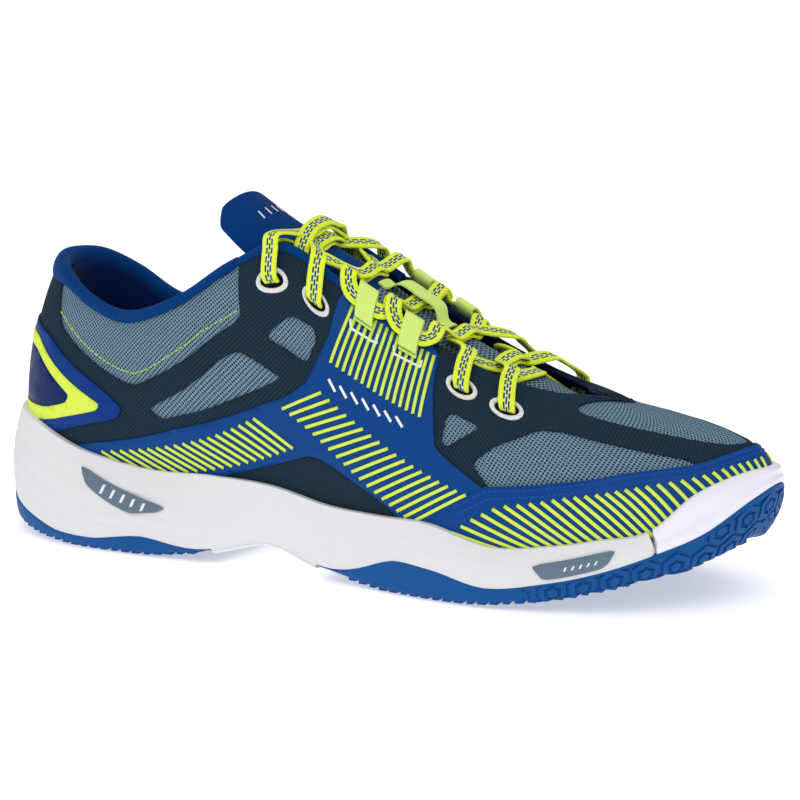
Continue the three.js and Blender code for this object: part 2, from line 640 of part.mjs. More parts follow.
// ---------------------------------------------------------------- lacing
const RING_LOW = FILM_1 + FILM + GAP;
const RING_HIGH = RING_LOW + 0.9;
const loops = [[8.5, 0.86], [9.25, 0.86]];
const LOOP_WIDE = 7;
const ringRound = (side, place) => {
  const turns = (long, short, d) => oval(side, place, long, short, d);
  const edges = [
    turns(HOLE_LONG, HOLE_SHORT, RING_LOW), turns(EYELET_LONG, EYELET_SHORT, RING_LOW),
    turns(EYELET_LONG, EYELET_SHORT, RING_HIGH), turns(HOLE_LONG, HOLE_SHORT, RING_HIGH),
  ];
  return loft(edges[0].map((_, k) => edges.map((edge) => edge[k])), true);
};
// Webbing loop: [e, d] down its middle, out of the slot, round the lace and back.
const loopPath = [
  [-10.5, 3.1], [-8.2, 1.75], [-6, 1.75], [1, 1.75], [3, 2.2], [3.8, 3.3], [3, 4.6], [0.8, 5.1],
  [-6, 4.5], [-9.6, 4],
];
const WEBBING = 0.7;
const loopBody = (side, [u]) => {
  const middle = loopPath.map(([e, d]) => new THREE.Vector2(e, d));
  const half = middle.map((point, k) => {
    const ahead = middle[Math.min(k + 1, middle.length - 1)];
    const behind = middle[Math.max(k - 1, 0)];
    const along = ahead.clone().sub(behind).normalize();
    return new THREE.Vector2(-along.y, along.x).multiplyScalar(WEBBING / 2);
  });
  const wall = (a, sign) => middle.map((point, k) => {
    const at = point.clone().addScaledVector(half[k], sign);
    return collarPoint(side, u + a, at.x, at.y);
  });
  const reach = LOOP_WIDE / 2 / 24;
  return loft([-reach, reach].map((a) => [...wall(a, 1), ...wall(a, -1).reverse()]));
};
bothSides.forEach((side) => {
  eyelets.forEach((place, k) => {
    add(`eyelet_ring_${sideName(side)}_${k + 1}`, ringRound(side, place), colours.ring, 0.8);
  });
  loops.forEach((place, k) => {
    add(`webbing_loop_${sideName(side)}_${k + 1}`, loopBody(side, place), colours.webbing, 0.9);
  });
});

// One flat lace, criss-crossed through the four eyelets and two loops of each side. Its ends go
// in under the edges of the throat and lie between the quarter and the tongue.
const CROSS_LOW = 1.4;          // height over the tongue of the strand that passes beneath
const CROSS_HIGH = 3.4;
const laceStops = [
  { place: eyelets[3] }, { place: eyelets[2] }, { place: loops[1], loop: true },
  { place: loops[0], loop: true }, { place: eyelets[1] }, { place: eyelets[0] },
];
const throatDirection = (side, u) => upper(side, u + 0.1, 1).sub(upper(side, u - 0.1, 1)).normalize();

// Points are [position, width direction]. In over an eyelet from the edge above it, or out of it.
function eyeletPoints(side, place) {
  const wide = throatDirection(side, place[0]);
  const [u, h] = place;
  return [
    [collarPoint(side, u - 0.08, 2.5, -3.2), wide],
    [collarPoint(side, u - 0.04, -3, -3.6), wide],
    [nearby(side, [u, h], 0, 0.9, -3.7), wide],
    [nearby(side, [u, h], 0, -0.5, -1.6), wide],
    [nearby(side, [u, h], 0, -0.5, 1.4), wide],
    [nearby(side, [u, h], 0, 1.1, 3.6), wide],
    [collarPoint(side, u, -3, 3.9), wide],
    [collarPoint(side, u, 2.5, 3.9), wide],
  ];
}
// Round a webbing loop: in from the throat, along it towards the ankle, and back out. The
// upper strand stays over the lower one where they run together between the loops.
function loopPoints(side, [u], upperStrand) {
  const wide = throatDirection(side, u);
  const out = collarPoint(side, u, -3, 3).sub(collarPoint(side, u, 3, 3)).normalize();
  const corner = (sign) => wide.clone().multiplyScalar(sign).add(out).normalize();
  const d = upperStrand ? 3.7 : 1.9;
  return [
    [collarPoint(side, u + 0.36, 5.5, d), wide],
    [collarPoint(side, u + 0.33, 0.6, d), corner(0.8)],
    [collarPoint(side, u + 0.21, -2.3, 3.05), out],
    [collarPoint(side, u, -2.6, 3.05), out],
    [collarPoint(side, u - 0.21, -2.3, 3.05), out],
    [collarPoint(side, u - 0.33, 0.6, d), corner(-0.8)],
    [collarPoint(side, u - 0.36, 5.5, d), wide.clone().negate()],
  ];
}
function crossing(fromSide, u, height) {
  const middle = upper(LATERAL, u, 1).add(upper(MEDIAL, u, 1)).multiplyScalar(0.5);
  const { up } = crownAt(middle.x);
  const forward = V(up.z, 0, -up.x);
  return [8, 0, -8].map((y) => [tonguePoint(middle.x, fromSide * y, height), forward]);
}
const TAIL_STATION = 7.28;
const TAIL_RISE = 4;            // the last crossings lie over the ones before
const tailDown = [[2.5, -3.3], [-5, -3.6], [-14, -3.6], [-23, -3.7]];
function tailPoints(side) {
  const wide = throatDirection(side, TAIL_STATION);
  return tailDown.map(([e, d]) => [collarPoint(side, TAIL_STATION, e, d), wide]);
}
// Half of the lace, from the middle of the bottom bar: it starts on one side and swaps sides.
// A loop turns the ribbon over sideways, so its width points the other way after one.
function strand(startSide, height) {
  let side = startSide;
  let facing = 1;
  const points = [];
  const put = (list) => points.push(...list.map(([p, wide]) => [p, wide.clone().multiplyScalar(facing)]));
  laceStops.forEach(({ place, loop }, k) => {
    put(loop ? loopPoints(side, place, height === CROSS_HIGH) : eyeletPoints(side, place));
    if (loop) facing = -facing;
    const next = laceStops[k + 1];
    const nextStation = next ? next.place[0] : TAIL_STATION;
    put(crossing(side, (place[0] + nextStation) / 2, next ? height : height + TAIL_RISE));
    side = -side;
  });
  put(tailPoints(side));
  return points;
}
function laceRibbon(points) {
  const path = new THREE.CatmullRomCurve3(points.map(([p]) => p), false, 'centripetal');
  const steps = points.length * 2 - 2;
  return loft(range(0, 1, steps).map((t) => {
    const at = t * (points.length - 1);
    const k = Math.min(Math.floor(at), points.length - 2);
    const along = path.getTangent(t);
    const wide = points[k][1].clone().lerp(points[k + 1][1], at - k);
    wide.addScaledVector(along, -wide.dot(along)).normalize().multiplyScalar(LACE_WIDTH / 2);
    const thick = along.clone().cross(wide).normalize().multiplyScalar(LACE_THICK / 2);
    const corner = (a, b) => path.getPoint(t).addScaledVector(wide, a).addScaledVector(thick, b);
    return [corner(-1, 1), corner(1, 1), corner(1, -1), corner(-1, -1)];
  }));
}
const bottomBar = [tonguePoint(211, 0, 1.6), V(0.95, 0, -0.3)];
const wholeLace = [...strand(MEDIAL, CROSS_LOW).reverse(), bottomBar, ...strand(LATERAL, CROSS_HIGH)];
add('lace', laceRibbon(wholeLace), colours.lace, 0.9);

const AGLET_LONG = 16;
bothSides.forEach((side) => {
  const start = collarPoint(side, TAIL_STATION, -23.6, -3.7);
  const end = collarPoint(side, TAIL_STATION, -23.6 - AGLET_LONG, -4.2);
  const tube = new THREE.CylinderGeometry(1.5, 1.3, start.distanceTo(end), 8);
  tube.deleteAttribute('uv');
  tube.deleteAttribute('normal');
  const turn = new THREE.Quaternion().setFromUnitVectors(V(0, 1, 0), start.clone().sub(end).normalize());
  const middle = start.clone().add(end).multiplyScalar(0.5);
  tube.applyQuaternion(turn).translate(middle.x - MID_X, middle.y - MID_Y, middle.z);
  add(`aglet_${sideName(side)}`, tube, colours.plastic, 0.3);
});

// Webbing keeper sewn along the tongue's crown, with the middle crossing under it.
const keeperPath = [[150.5, 0.5], [154, 0.7], [157, 4.9], [164, 5.3], [171, 4.9], [174.5, 0.7], [178, 0.5]];
add('lace_keeper', loft(keeperPath.map(([x, d]) => {
  const across = [-4, 0, 4];
  const wall = (rise) => across.map((y) => tonguePoint(x, y, d + rise));
  return [...wall(0.8), ...wall(0).reverse()];
})), colours.webbing, 0.9);

export default group;
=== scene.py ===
# %% Tools and the CAD frame
import math
import random

import bmesh
import bpy
import numpy as np
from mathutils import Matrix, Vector


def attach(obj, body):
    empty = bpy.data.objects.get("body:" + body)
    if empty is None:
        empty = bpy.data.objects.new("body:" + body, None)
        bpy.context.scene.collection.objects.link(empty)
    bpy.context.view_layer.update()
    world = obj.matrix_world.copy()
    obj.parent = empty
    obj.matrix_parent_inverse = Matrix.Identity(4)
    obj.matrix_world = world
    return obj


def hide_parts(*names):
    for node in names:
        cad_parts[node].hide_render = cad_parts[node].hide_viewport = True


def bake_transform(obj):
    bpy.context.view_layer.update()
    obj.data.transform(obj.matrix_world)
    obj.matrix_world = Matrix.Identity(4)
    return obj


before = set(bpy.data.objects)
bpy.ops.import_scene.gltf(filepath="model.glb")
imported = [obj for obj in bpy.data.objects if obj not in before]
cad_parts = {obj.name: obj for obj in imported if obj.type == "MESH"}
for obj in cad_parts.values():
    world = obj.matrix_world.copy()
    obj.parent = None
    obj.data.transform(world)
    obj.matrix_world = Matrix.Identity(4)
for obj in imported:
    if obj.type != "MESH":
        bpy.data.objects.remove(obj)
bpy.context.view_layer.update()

random.seed(7)
print("CAD nodes:", len(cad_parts))

# %% [markdown]
# # A low-cut court shoe, made piece by piece
# A shoe is a stack of thin layers stretched over one curved surface, the last. Each layer is
# first a flat pattern. So this lesson writes the surface once, as a formula, and then cuts every
# pattern flat with bmesh and lays it on that surface at its own height. Modelling each overlay
# by eye in 3D would work too, but the layers would then drift apart or cut into each other.

# %% [markdown]
# ## The camera
# The camera comes first, because it decides how big a detail must be to be seen. It looks at the
# lateral side from a little in front and a little above, with a long lens, as shop pictures do.

# %% The camera
AZIMUTH, ELEVATION, DISTANCE = math.radians(29), math.radians(10.5), 1.3
look_at = Vector((-0.001, -0.00064, 0.060))
toward = Vector((math.sin(AZIMUTH) * math.cos(ELEVATION),
                 -math.cos(AZIMUTH) * math.cos(ELEVATION), math.sin(ELEVATION)))
lens = bpy.data.cameras.new("camera")
camera = bpy.data.objects.new("camera", lens)
bpy.context.collection.objects.link(camera)
camera.location = look_at + toward * DISTANCE
camera.rotation_euler = (-toward).to_track_quat("-Z", "Y").to_euler()
lens.lens = 164.1
lens.sensor_width = 36
lens.shift_x = 0.0226
lens.shift_y = -0.009
lens.clip_end = 20
bpy.context.scene.camera = camera
print("camera at", [round(v, 3) for v in camera.location])

# %% [markdown]
# ## The surface of the upper
# Seventeen stations run from the heel centre (0) to the toe tip (16). At each one a cubic goes
# from the feather line, where the upper meets the sole, to the topline. A smooth curve joins the
# stations. The same numbers shape the CAD model, so a pattern laid here lands where the CAD
# piece is. Stations carry on round the toe to the medial side: 16 to 32, so 32 is the heel again.

# %% Stations of the upper
# foot x y z, top x y z (mm), facing in degrees, then how the two handles lean out and rise
STATIONS = np.array([
    [9, 0, 27, 20, 0, 102.5, -90, 4.5, 23, 12, -24],
    [12, 15, 26.8, 24, 14, 102, -62, 4.5, 23, 11, -22],
    [25, 26, 26.2, 33, 24, 98, -25, 6, 22, 8, -20],
    [46, 30, 25.5, 46, 29, 90.5, -5, 8, 21, 7, -18],
    [74, 31, 24.5, 63, 30, 86, 0, 8, 20, 6, -17],
    [102, 32, 23.5, 84, 29, 93.5, 0, 8, 20, 8, -20],
    [128, 34, 22, 103, 25, 106.5, 2, 8, 22, 10, -26],
    [152, 37, 20, 122, 21, 114, 5, 9, 24, 13, -30],
    [175, 41, 18, 144, 20, 103, 6, 9, 22, 15, -26],
    [197, 44, 17, 167, 19, 90, 3, 8, 20, 17, -20],
    [218, 44, 17, 190, 18, 79, 6, 8, 20, 19, -14],
    [238, 41, 18, 211, 16, 71.5, 14, 8, 20, 20, -8],
    [254, 36.5, 20, 225, 11, 68, 24, 9, 20, 20, -4],
    [268, 29, 22, 231, 5, 67, 36, 10, 20, 21, -3.5],
    [279.5, 19.5, 24.5, 242, -4, 65, 52, 15, 19, 29, -3.5],
    [287, 7.5, 27, 253, -4, 63.5, 72, 15, 18, 32, -4],
    [290, -5, 28, 262, -4, 62.5, 90, 16, 17, 33, -4]])
MEDIAL_FOOT = np.array([0, 15, 25, 28.5, 28, 27.5, 28, 33, 38.5, 43.5, 45.5, 44.5, 40, 34, 26, 16.5, 5])
MEDIAL_TOP = np.array([102.5, 100.5, 93.5, 84, 80.5, 87, 101, 110.5, 101, 89, 78.5, 71, 68, 67, 65, 63.5,
                       62.5])
RIDGE_FROM, TOE, ROUND = 14, 16, 32


def side_handles(medial):
    """The four control points of each station on one side."""
    s = STATIONS
    turn = np.radians(s[:, 6])
    facing = np.stack([np.sin(turn), (1 if medial else -1) * np.cos(turn), 0 * turn], 1)
    rise = np.array([0, 0, 1.0])
    ridge = np.arange(17) >= RIDGE_FROM
    top_y = np.where(ridge, -s[:, 4], (1 if medial else -1) * s[:, 4])
    foot = np.stack([s[:, 0], MEDIAL_FOOT if medial else -s[:, 1], s[:, 2]], 1)
    top = np.stack([s[:, 3], top_y, MEDIAL_TOP if medial else s[:, 5]], 1)
    low = foot + facing * s[:, 7:8] + rise * s[:, 8:9]
    high = top + facing * s[:, 9:10] + rise * s[:, 10:11]
    return np.stack([foot, low, high, top], 1)


lateral_handles, medial_handles = side_handles(False), side_handles(True)
HANDLES = np.concatenate([lateral_handles, medial_handles[15:0:-1]])
print("stations round the shoe:", len(HANDLES))


# %% The surface and its normals
def between(ring, w):
    """A smooth curve through the rows of a ring of stations, at station w."""
    k = np.floor(w).astype(int)
    t = (w - k).reshape((-1,) + (1,) * (ring.ndim - 1))
    a, b, c, d = (ring[(k + step) % ROUND] for step in (-1, 0, 1, 2))
    return 0.5 * (2 * b + (c - a) * t + (2 * a - 5 * b + 4 * c - d) * t**2 + (3 * b - a - 3 * c + d) * t**3)


def surface(w, h):
    """Points of the upper in mm. h runs from the feather line (0) to the topline (1)."""
    w, h = (np.array(v, float).ravel() for v in np.broadcast_arrays(w, h))
    p = between(HANDLES, w)
    on_ridge = (w % ROUND >= RIDGE_FROM) & (w % ROUND <= ROUND - RIDGE_FROM)
    p[on_ridge, 3] = (p[on_ridge, 3] + between(HANDLES, ROUND - w[on_ridge])[:, 3]) / 2
    h = h[:, None]
    g = 1 - h
    return p[:, 0] * g**3 + 3 * p[:, 1] * h * g * g + 3 * p[:, 2] * h * h * g + p[:, 3] * h**3


def unit(v):
    return v / np.linalg.norm(v, axis=1, keepdims=True)


def side_normal(w, h):
    along = surface(w + 0.02, h) - surface(w - 0.02, h)
    up = surface(w, np.minimum(h + 0.02, 1)) - surface(w, np.maximum(h - 0.02, 0))
    return unit(np.cross(along, up))


def normal(w, h):
    """Outward directions. Along the ridge both sides share one, taken just beside the tip."""
    w, h = (np.array(v, float).ravel() for v in np.broadcast_arrays(w, h))
    w = np.where((np.abs(w % ROUND - TOE) < 0.04) & (h > 0.96), w - 0.06, w)
    n = side_normal(w, h)
    shared = (w % ROUND >= RIDGE_FROM) & (w % ROUND <= ROUND - RIDGE_FROM) & (h > 0.999)
    if shared.any():
        n[shared] = unit(n[shared] + side_normal(ROUND - w[shared], h[shared]))
    return n


def skin(w, h, d):
    """Points d mm outside the upper's face."""
    count = np.size(np.broadcast_arrays(w, h)[0])
    return surface(w, h) + normal(w, h) * np.reshape(np.broadcast_to(d, count), (-1, 1))


def collar_point(w, e, d):
    """Points e mm above the topline and d mm outside."""
    w, e, d = (np.array(v, float).ravel() for v in np.broadcast_arrays(w, e, d))
    top = surface(w, np.ones_like(w))
    up = top - surface(w, np.full_like(w, 0.96))
    per_mm = 0.04 / np.linalg.norm(up, axis=1)
    above = top + unit(up) * e[:, None] + normal(w, np.ones_like(w)) * d[:, None]
    below = skin(w, np.minimum(1 + e * per_mm, 1), d)
    return np.where(e[:, None] > 0, above, below)


MID = np.array([151, 0.64, 0])


def metres(points):
    return (np.asarray(points) - MID) / 1000


print("toe tip", surface([16], [0.5]).round(1), "heel", surface([0], [0.5]).round(1))

# %% A smooth step
def ease(x, low, high, by):
    t = min(max((x - low) / (high - low), 0), 1)
    return by * t * t * (3 - 2 * t)


print("half of a rise of 6 mm:", ease(0.5, 0, 1, 6))

# %% [markdown]
# ## From a flat pattern to a laid piece
# A pattern is an outline with windows. triangle_fill closes it, bisect_plane scores it along the
# stations so that it can bend, and then each vertex is laid on the surface. The flat position in
# millimetres is kept as the UV map, so a weave follows the cloth round the foot.


# %% Laying helpers
def rounded(points, times=3, cut=0.2):
    """The outline with its corners cut away again and again, as a rounded die would."""
    points = [np.array(p, float) for p in points]
    for _ in range(times):
        points = [q for a, b in zip(points, points[1:] + points[:1])
                  for q in (a * (1 - cut) + b * cut, a * cut + b * (1 - cut))]
    return [tuple(p) for p in points]


lengths_w = np.linspace(-8, 40, 961)
steps = np.linalg.norm(np.diff(surface(lengths_w, 0.45 + 0 * lengths_w), axis=0), axis=1)
lengths_mm = np.concatenate([[0], np.cumsum(steps)])


def flat_mm(w, h):
    """Where a point of the surface is on the flat cloth, in mm."""
    rise = between(HANDLES, np.array(w, float))
    tall = np.linalg.norm(rise[:, 3] - rise[:, 0], axis=1) * 1.12
    return np.interp(w, lengths_w, lengths_mm), h * tall


def pattern(outline, windows=(), step_w=0.125, step_h=0.05):
    """A flat bmesh of an outline with windows, scored so that it can bend."""
    bm = bmesh.new()
    edges = []
    for loop in (outline, *windows):
        ring = [bm.verts.new((w, h, 0)) for w, h in loop]
        edges += [bm.edges.new((a, b)) for a, b in zip(ring, ring[1:] + ring[:1])]
    bmesh.ops.triangle_fill(bm, edges=edges, use_beauty=True, normal=(0, 0, 1))
    low, high = (np.array([v.co[:2] for v in bm.verts]).min(0), np.array([v.co[:2] for v in bm.verts]).max(0))
    for axis, step in ((0, step_w), (1, step_h)):
        no = (1, 0, 0) if axis == 0 else (0, 1, 0)
        for k in range(math.ceil(low[axis] / step + 0.01), math.floor(high[axis] / step - 0.01) + 1):
            co = (k * step, 0, 0) if axis == 0 else (0, k * step, 0)
            bmesh.ops.bisect_plane(bm, geom=bm.verts[:] + bm.edges[:] + bm.faces[:], plane_co=co,
                                   plane_no=no, dist=1e-6)
    return bm


def lay(bm, place):
    """Writes the UV map from the flat shape, then moves each vertex to its place."""
    uv = bm.loops.layers.uv.new("cloth")
    bm.verts.ensure_lookup_table()
    flat = np.array([v.co[:] for v in bm.verts])
    u, v = flat_mm(flat[:, 0], flat[:, 1])
    for vert in bm.verts:
        for loop in vert.link_loops:
            loop[uv].uv = (u[vert.index] / 10, v[vert.index] / 10)
    for vert, point in zip(bm.verts, metres(place(flat[:, 0], flat[:, 1]))):
        vert.co = point
    return bm


def piece(name, bm, material, body="shoe", stands_for=(), slot=None, weld=0, solid=None, sharp=40):
    """Makes the object, gives it its thickness, and ties it to its body. One that will bend has no body."""
    if weld:
        bmesh.ops.remove_doubles(bm, verts=bm.verts, dist=weld)
    mesh = bpy.data.meshes.new(name)
    bm.to_mesh(mesh)
    bm.free()
    made = bpy.data.objects.new(name, mesh)
    bpy.context.collection.objects.link(made)
    mesh.materials.append(material)
    mesh.shade_smooth()
    mesh.set_sharp_from_angle(angle=math.radians(sharp))
    if solid:
        wall = made.modifiers.new("thickness", "SOLIDIFY")
        wall.thickness = abs(solid) / 1000
        wall.offset = 1 if solid > 0 else -1
        wall.use_even_offset = False
    if body:
        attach(made, body)
    if stands_for:
        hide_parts(*stands_for)
    print(f"{name}: {len(mesh.polygons)} faces")
    return made


def overlay(name, outline, material, d, thick, windows=(), **facts):
    """A pattern laid d mm off the upper, thick mm thick."""
    bm = lay(pattern(outline, windows), lambda w, h: skin(w, h, d))
    return piece(name, bm, material, weld=1e-6, solid=thick, **facts)


def mirrored(outline):
    """The same outline on the medial side."""
    return [(ROUND - w, h) for w, h in reversed(outline)]


def along_path(points, pitch):
    """Evenly spaced (w, h) places along a path, pitch mm apart."""
    w, h = np.array(points, float).T
    fine = np.linspace(0, len(w) - 1, 40 * len(w))
    fw, fh = np.interp(fine, range(len(w)), w), np.interp(fine, range(len(w)), h)
    p = surface(fw, fh)
    run = np.concatenate([[0], np.cumsum(np.linalg.norm(np.diff(p, axis=0), axis=1))])
    at = np.arange(pitch / 2, run[-1], pitch)
    return np.interp(at, run, fw), np.interp(at, run, fh)


def stitches(name, paths, material, pitch=2.4, long=1.7, wide=0.55, d=1.0, high=0.35, **facts):
    """Rows of thread: one small rounded bar for each stitch."""
    bm = bmesh.new()
    count = 0
    for path in paths:
        w, h = along_path(path, pitch)
        if len(w) < 2:
            continue
        spot = skin(w, h, d)
        up = normal(w, h)
        ahead = unit(np.gradient(spot, axis=0))
        across = unit(np.cross(up, ahead))
        for p, a, b, n in zip(metres(spot), ahead, across, up):
            made = bmesh.ops.create_cube(bm, size=1)["verts"]
            for v in made:
                taper = 0.55 if v.co.z > 0 else 1
                x, y, z = v.co.x * long * taper, v.co.y * wide * taper, v.co.z * high
                v.co = Vector(p) + (Vector(a) * x + Vector(b) * y + Vector(n) * z) / 1000
            count += 1
    print(name, "stitches:", count)
    return piece(name, bm, material, **facts)


def straight(start, end, count):
    """(w, h) places under a straight line between two places, as a printed bar runs."""
    t = np.linspace(0, 1, count)
    w, h = start[0] + (end[0] - start[0]) * t, start[1] + (end[1] - start[1]) * t
    ends = surface([start[0], end[0]], [start[1], end[1]])
    line = ends[0] + (ends[1] - ends[0]) * t[:, None]
    for _ in range(4):
        here = surface(w, h)
        by_w, by_h = (surface(w + 0.01, h) - here) / 0.01, (surface(w, h + 0.005) - here) / 0.005
        gap = line - here
        for k in range(1, count - 1):
            move = np.linalg.lstsq(np.stack([by_w[k], by_h[k]], 1), gap[k], rcond=None)[0]
            w[k] += move[0]
            h[k] += move[1]
    return w, h


def stripes(name, bars, material, wide, d, thick=0.18, **facts):
    """Printed bars. Each one is a narrow grid between two (w, h) ends."""
    bm = bmesh.new()
    uv = bm.loops.layers.uv.new("cloth")
    for start, end in bars:
        w, h = straight(start, end, 9)
        spot = skin(w, h, d)
        across = unit(np.cross(normal(w, h), np.gradient(spot, axis=0)))
        rows = bmesh.ops.create_grid(bm, x_segments=8, y_segments=1, size=1)["verts"]
        for v in rows:
            k = round((v.co.x + 1) * 4)
            v.co = metres(spot[k] + across[k] * v.co.y * wide / 2)
        for face in {f for v in rows for f in v.link_faces}:
            for loop in face.loops:
                loop[uv].uv = (loop.vert.co.x * 100, loop.vert.co.z * 100)
    bmesh.ops.recalc_face_normals(bm, faces=bm.faces)
    for face in bm.faces:
        centre = np.array(face.calc_center_median()) * 1000 + MID
        out = centre - np.array([150, 0, 45])
        if np.dot(np.array(face.normal), out * np.array([0.3, 1, 0.6])) < 0:
            face.normal_flip()
    return piece(name, bm, material, solid=thick, **facts)


def sleeve(sections, closed=False, capped=True):
    """Joins equal rings of points, given in mm as [section][point], into one skin."""
    sections = np.asarray(sections, float)
    count, around = sections.shape[:2]
    bm = bmesh.new()
    bmesh.ops.create_grid(bm, x_segments=count - (0 if closed else 1), y_segments=around, size=1)
    bm.verts.ensure_lookup_table()
    uv = bm.loops.layers.uv.new("cloth")
    nx = count + (1 if closed else 0)
    grid = np.array([v.co[:2] for v in bm.verts])
    i = np.rint((grid[:, 0] + 1) / 2 * (nx - 1)).astype(int) % count
    j = np.rint((grid[:, 1] + 1) / 2 * around).astype(int)
    run = np.concatenate([[0], np.cumsum(np.linalg.norm(np.diff(sections.mean(1), axis=0), axis=1))])
    loop_mm = np.linalg.norm(np.diff(sections[0], axis=0), axis=1)
    girth = np.concatenate([[0], np.cumsum(loop_mm), [loop_mm.sum() * 1.02]])
    spots = metres(sections[i, j % around])
    for v, p, a, b in zip(bm.verts, spots, i, j):
        for loop in v.link_loops:
            loop[uv].uv = (run[a] / 10, girth[b] / 10)
        v.co = p
    bmesh.ops.remove_doubles(bm, verts=bm.verts, dist=2e-6)
    bmesh.ops.dissolve_degenerate(bm, edges=bm.edges, dist=1e-6)
    if capped and not closed:
        bmesh.ops.holes_fill(bm, edges=[e for e in bm.edges if e.is_boundary], sides=0)
    bmesh.ops.recalc_face_normals(bm, faces=bm.faces)
    return bm


print("helpers ready")

# %% [markdown]
# ## Knitted mesh
# The upper is an open warp knit: rows of small holes, each row half a step along from the last.
# A Voronoi texture with no randomness, turned by 45 degrees, gives that grid of dots on the UV
# map. The same dots are pressed in by the bump, so light falls into the holes, and each hole is also coloured
# dark as painted shade.


# %% Knit material
# gap is the painted shade inside each hole of the knit
def knit(name, yarn, gap, pitch=1.25, gap_size=0.3, depth=0.5, rough=0.85, sheen=0.25, turn=45):
    material = bpy.data.materials.new(name)
    material.use_nodes = True
    nodes, links = material.node_tree.nodes, material.node_tree.links
    nodes.clear()
    holes_frame = nodes.new("NodeFrame")
    holes_frame.label = "Holes between the stitches"
    yarn_frame = nodes.new("NodeFrame")
    yarn_frame.label = "Yarn colour"
    cloth = nodes.new("ShaderNodeUVMap")
    cloth.label = "Place on the flat cloth"
    grid = nodes.new("ShaderNodeMapping")
    grid.label = "Stitch pitch and slant"
    dots = nodes.new("ShaderNodeTexVoronoi")
    dots.label = "One cell for each hole"
    edge = nodes.new("ShaderNodeValToRGB")
    edge.label = "Hole to yarn"
    uneven = nodes.new("ShaderNodeTexNoise")
    uneven.label = "Uneven dye and tension"
    tint = nodes.new("ShaderNodeMix")
    tint.label = "Lighter and darker yarn"
    colour = nodes.new("ShaderNodeMix")
    colour.label = "Dark inside each hole"
    fibre = nodes.new("ShaderNodeTexNoise")
    fibre.label = "Loose fibres"
    press = nodes.new("ShaderNodeBump")
    press.label = "Holes pressed in"
    fuzz = nodes.new("ShaderNodeBump")
    fuzz.label = "Fibres stand up"
    shader = nodes.new("ShaderNodeBsdfPrincipled")
    shader.label = "Knitted polyester"
    out = nodes.new("ShaderNodeOutputMaterial")
    out.label = "Surface"
    for k, node in enumerate((cloth, grid, dots, edge, uneven, tint, colour, fibre, press, fuzz, shader,
                              out)):
        node.location = (k * 190, 0 if k % 2 else 240)
    for node in (grid, dots, edge, press):
        node.parent = holes_frame
    for node in (uneven, tint, colour):
        node.parent = yarn_frame
    cloth.uv_map = "cloth"
    grid.inputs["Rotation"].default_value = (0, 0, math.radians(turn))
    grid.inputs["Scale"].default_value = (10 / pitch, 10 / pitch, 1)
    dots.voronoi_dimensions = "2D"
    dots.inputs["Scale"].default_value = 1
    dots.inputs["Randomness"].default_value = 0.08
    edge.color_ramp.elements[0].position = gap_size * 0.75
    edge.color_ramp.elements[1].position = gap_size * 1.35
    uneven.inputs["Scale"].default_value = 130
    tint.data_type = "RGBA"
    tint.inputs["A"].default_value = (*[c * 0.86 for c in yarn], 1)
    tint.inputs["B"].default_value = (*[min(c * 1.14, 1) for c in yarn], 1)
    colour.data_type = "RGBA"
    # Painted shade: the holes take the dark gap colour
    colour.inputs["A"].default_value = (*gap, 1)
    fibre.inputs["Scale"].default_value = 2600
    press.inputs["Strength"].default_value = depth
    press.inputs["Distance"].default_value = 0.0004
    fuzz.inputs["Strength"].default_value = 0.15
    fuzz.inputs["Distance"].default_value = 0.0002
    shader.inputs["Roughness"].default_value = rough
    shader.inputs["Specular IOR Level"].default_value = 0.06
    shader.inputs["Sheen Weight"].default_value = sheen * 0.1
    shader.inputs["Sheen Roughness"].default_value = 0.5
    links.new(cloth.outputs["UV"], grid.inputs["Vector"])
    links.new(grid.outputs["Vector"], dots.inputs["Vector"])
    links.new(dots.outputs["Distance"], edge.inputs["Fac"])
    links.new(uneven.outputs["Fac"], tint.inputs["Factor"])
    links.new(edge.outputs["Color"], colour.inputs["Factor"])
    links.new(tint.outputs["Result"], colour.inputs["B"])
    links.new(edge.outputs["Color"], press.inputs["Height"])
    links.new(fibre.outputs["Fac"], fuzz.inputs["Height"])
    links.new(press.outputs["Normal"], fuzz.inputs["Normal"])
    links.new(colour.outputs["Result"], shader.inputs["Base Color"])
    links.new(fuzz.outputs["Normal"], shader.inputs["Normal"])
    links.new(shader.outputs["BSDF"], out.inputs["Surface"])
    return material


def srgb(code):
    """A colour as written in hex, in the linear values that a shader wants."""
    parts = [((code >> shift) & 255) / 255 for shift in (16, 8, 0)]
    return tuple(p / 12.92 if p < 0.04045 else ((p + 0.055) / 1.055)**2.4 for p in parts)


# The second colour of each knit is the painted shade inside its holes
pale_mesh = knit("pale_mesh", srgb(0x7391A6), srgb(0x16232F), depth=0.7)
dark_mesh = knit("dark_mesh", srgb(0x203444), srgb(0x0E1922), pitch=1.1, gap_size=0.25, depth=0.45,
                 sheen=0.08)
collar_knit = knit("collar_knit", srgb(0x003F82), srgb(0x002858), pitch=0.8, gap_size=0.3, depth=0.25,
                   sheen=0.3)
lining_knit = knit("lining_knit", srgb(0x041F56), srgb(0x021032), pitch=0.9, gap_size=0.3, depth=0.3,
                   sheen=0.3)
tongue_knit = knit("tongue_knit", srgb(0x003A7C), srgb(0x002A5C), pitch=0.7, gap_size=0.28, depth=0.2,
                   sheen=0.2)
tongue_mesh = knit("tongue_mesh", srgb(0x6C8598), srgb(0x1C2A35), pitch=1.3, depth=0.7)
print("knits:", 8)

# %% [markdown]
# ## Welded film, printed ink and moulded parts
# The blue overlays are thin synthetic with a fine leather-like grain and a satin face. Foam and
# rubber have no weave, so their patterns read Object coordinates: a soft speckle, shallow
# moulding texture, and a few scuffs that change the roughness.


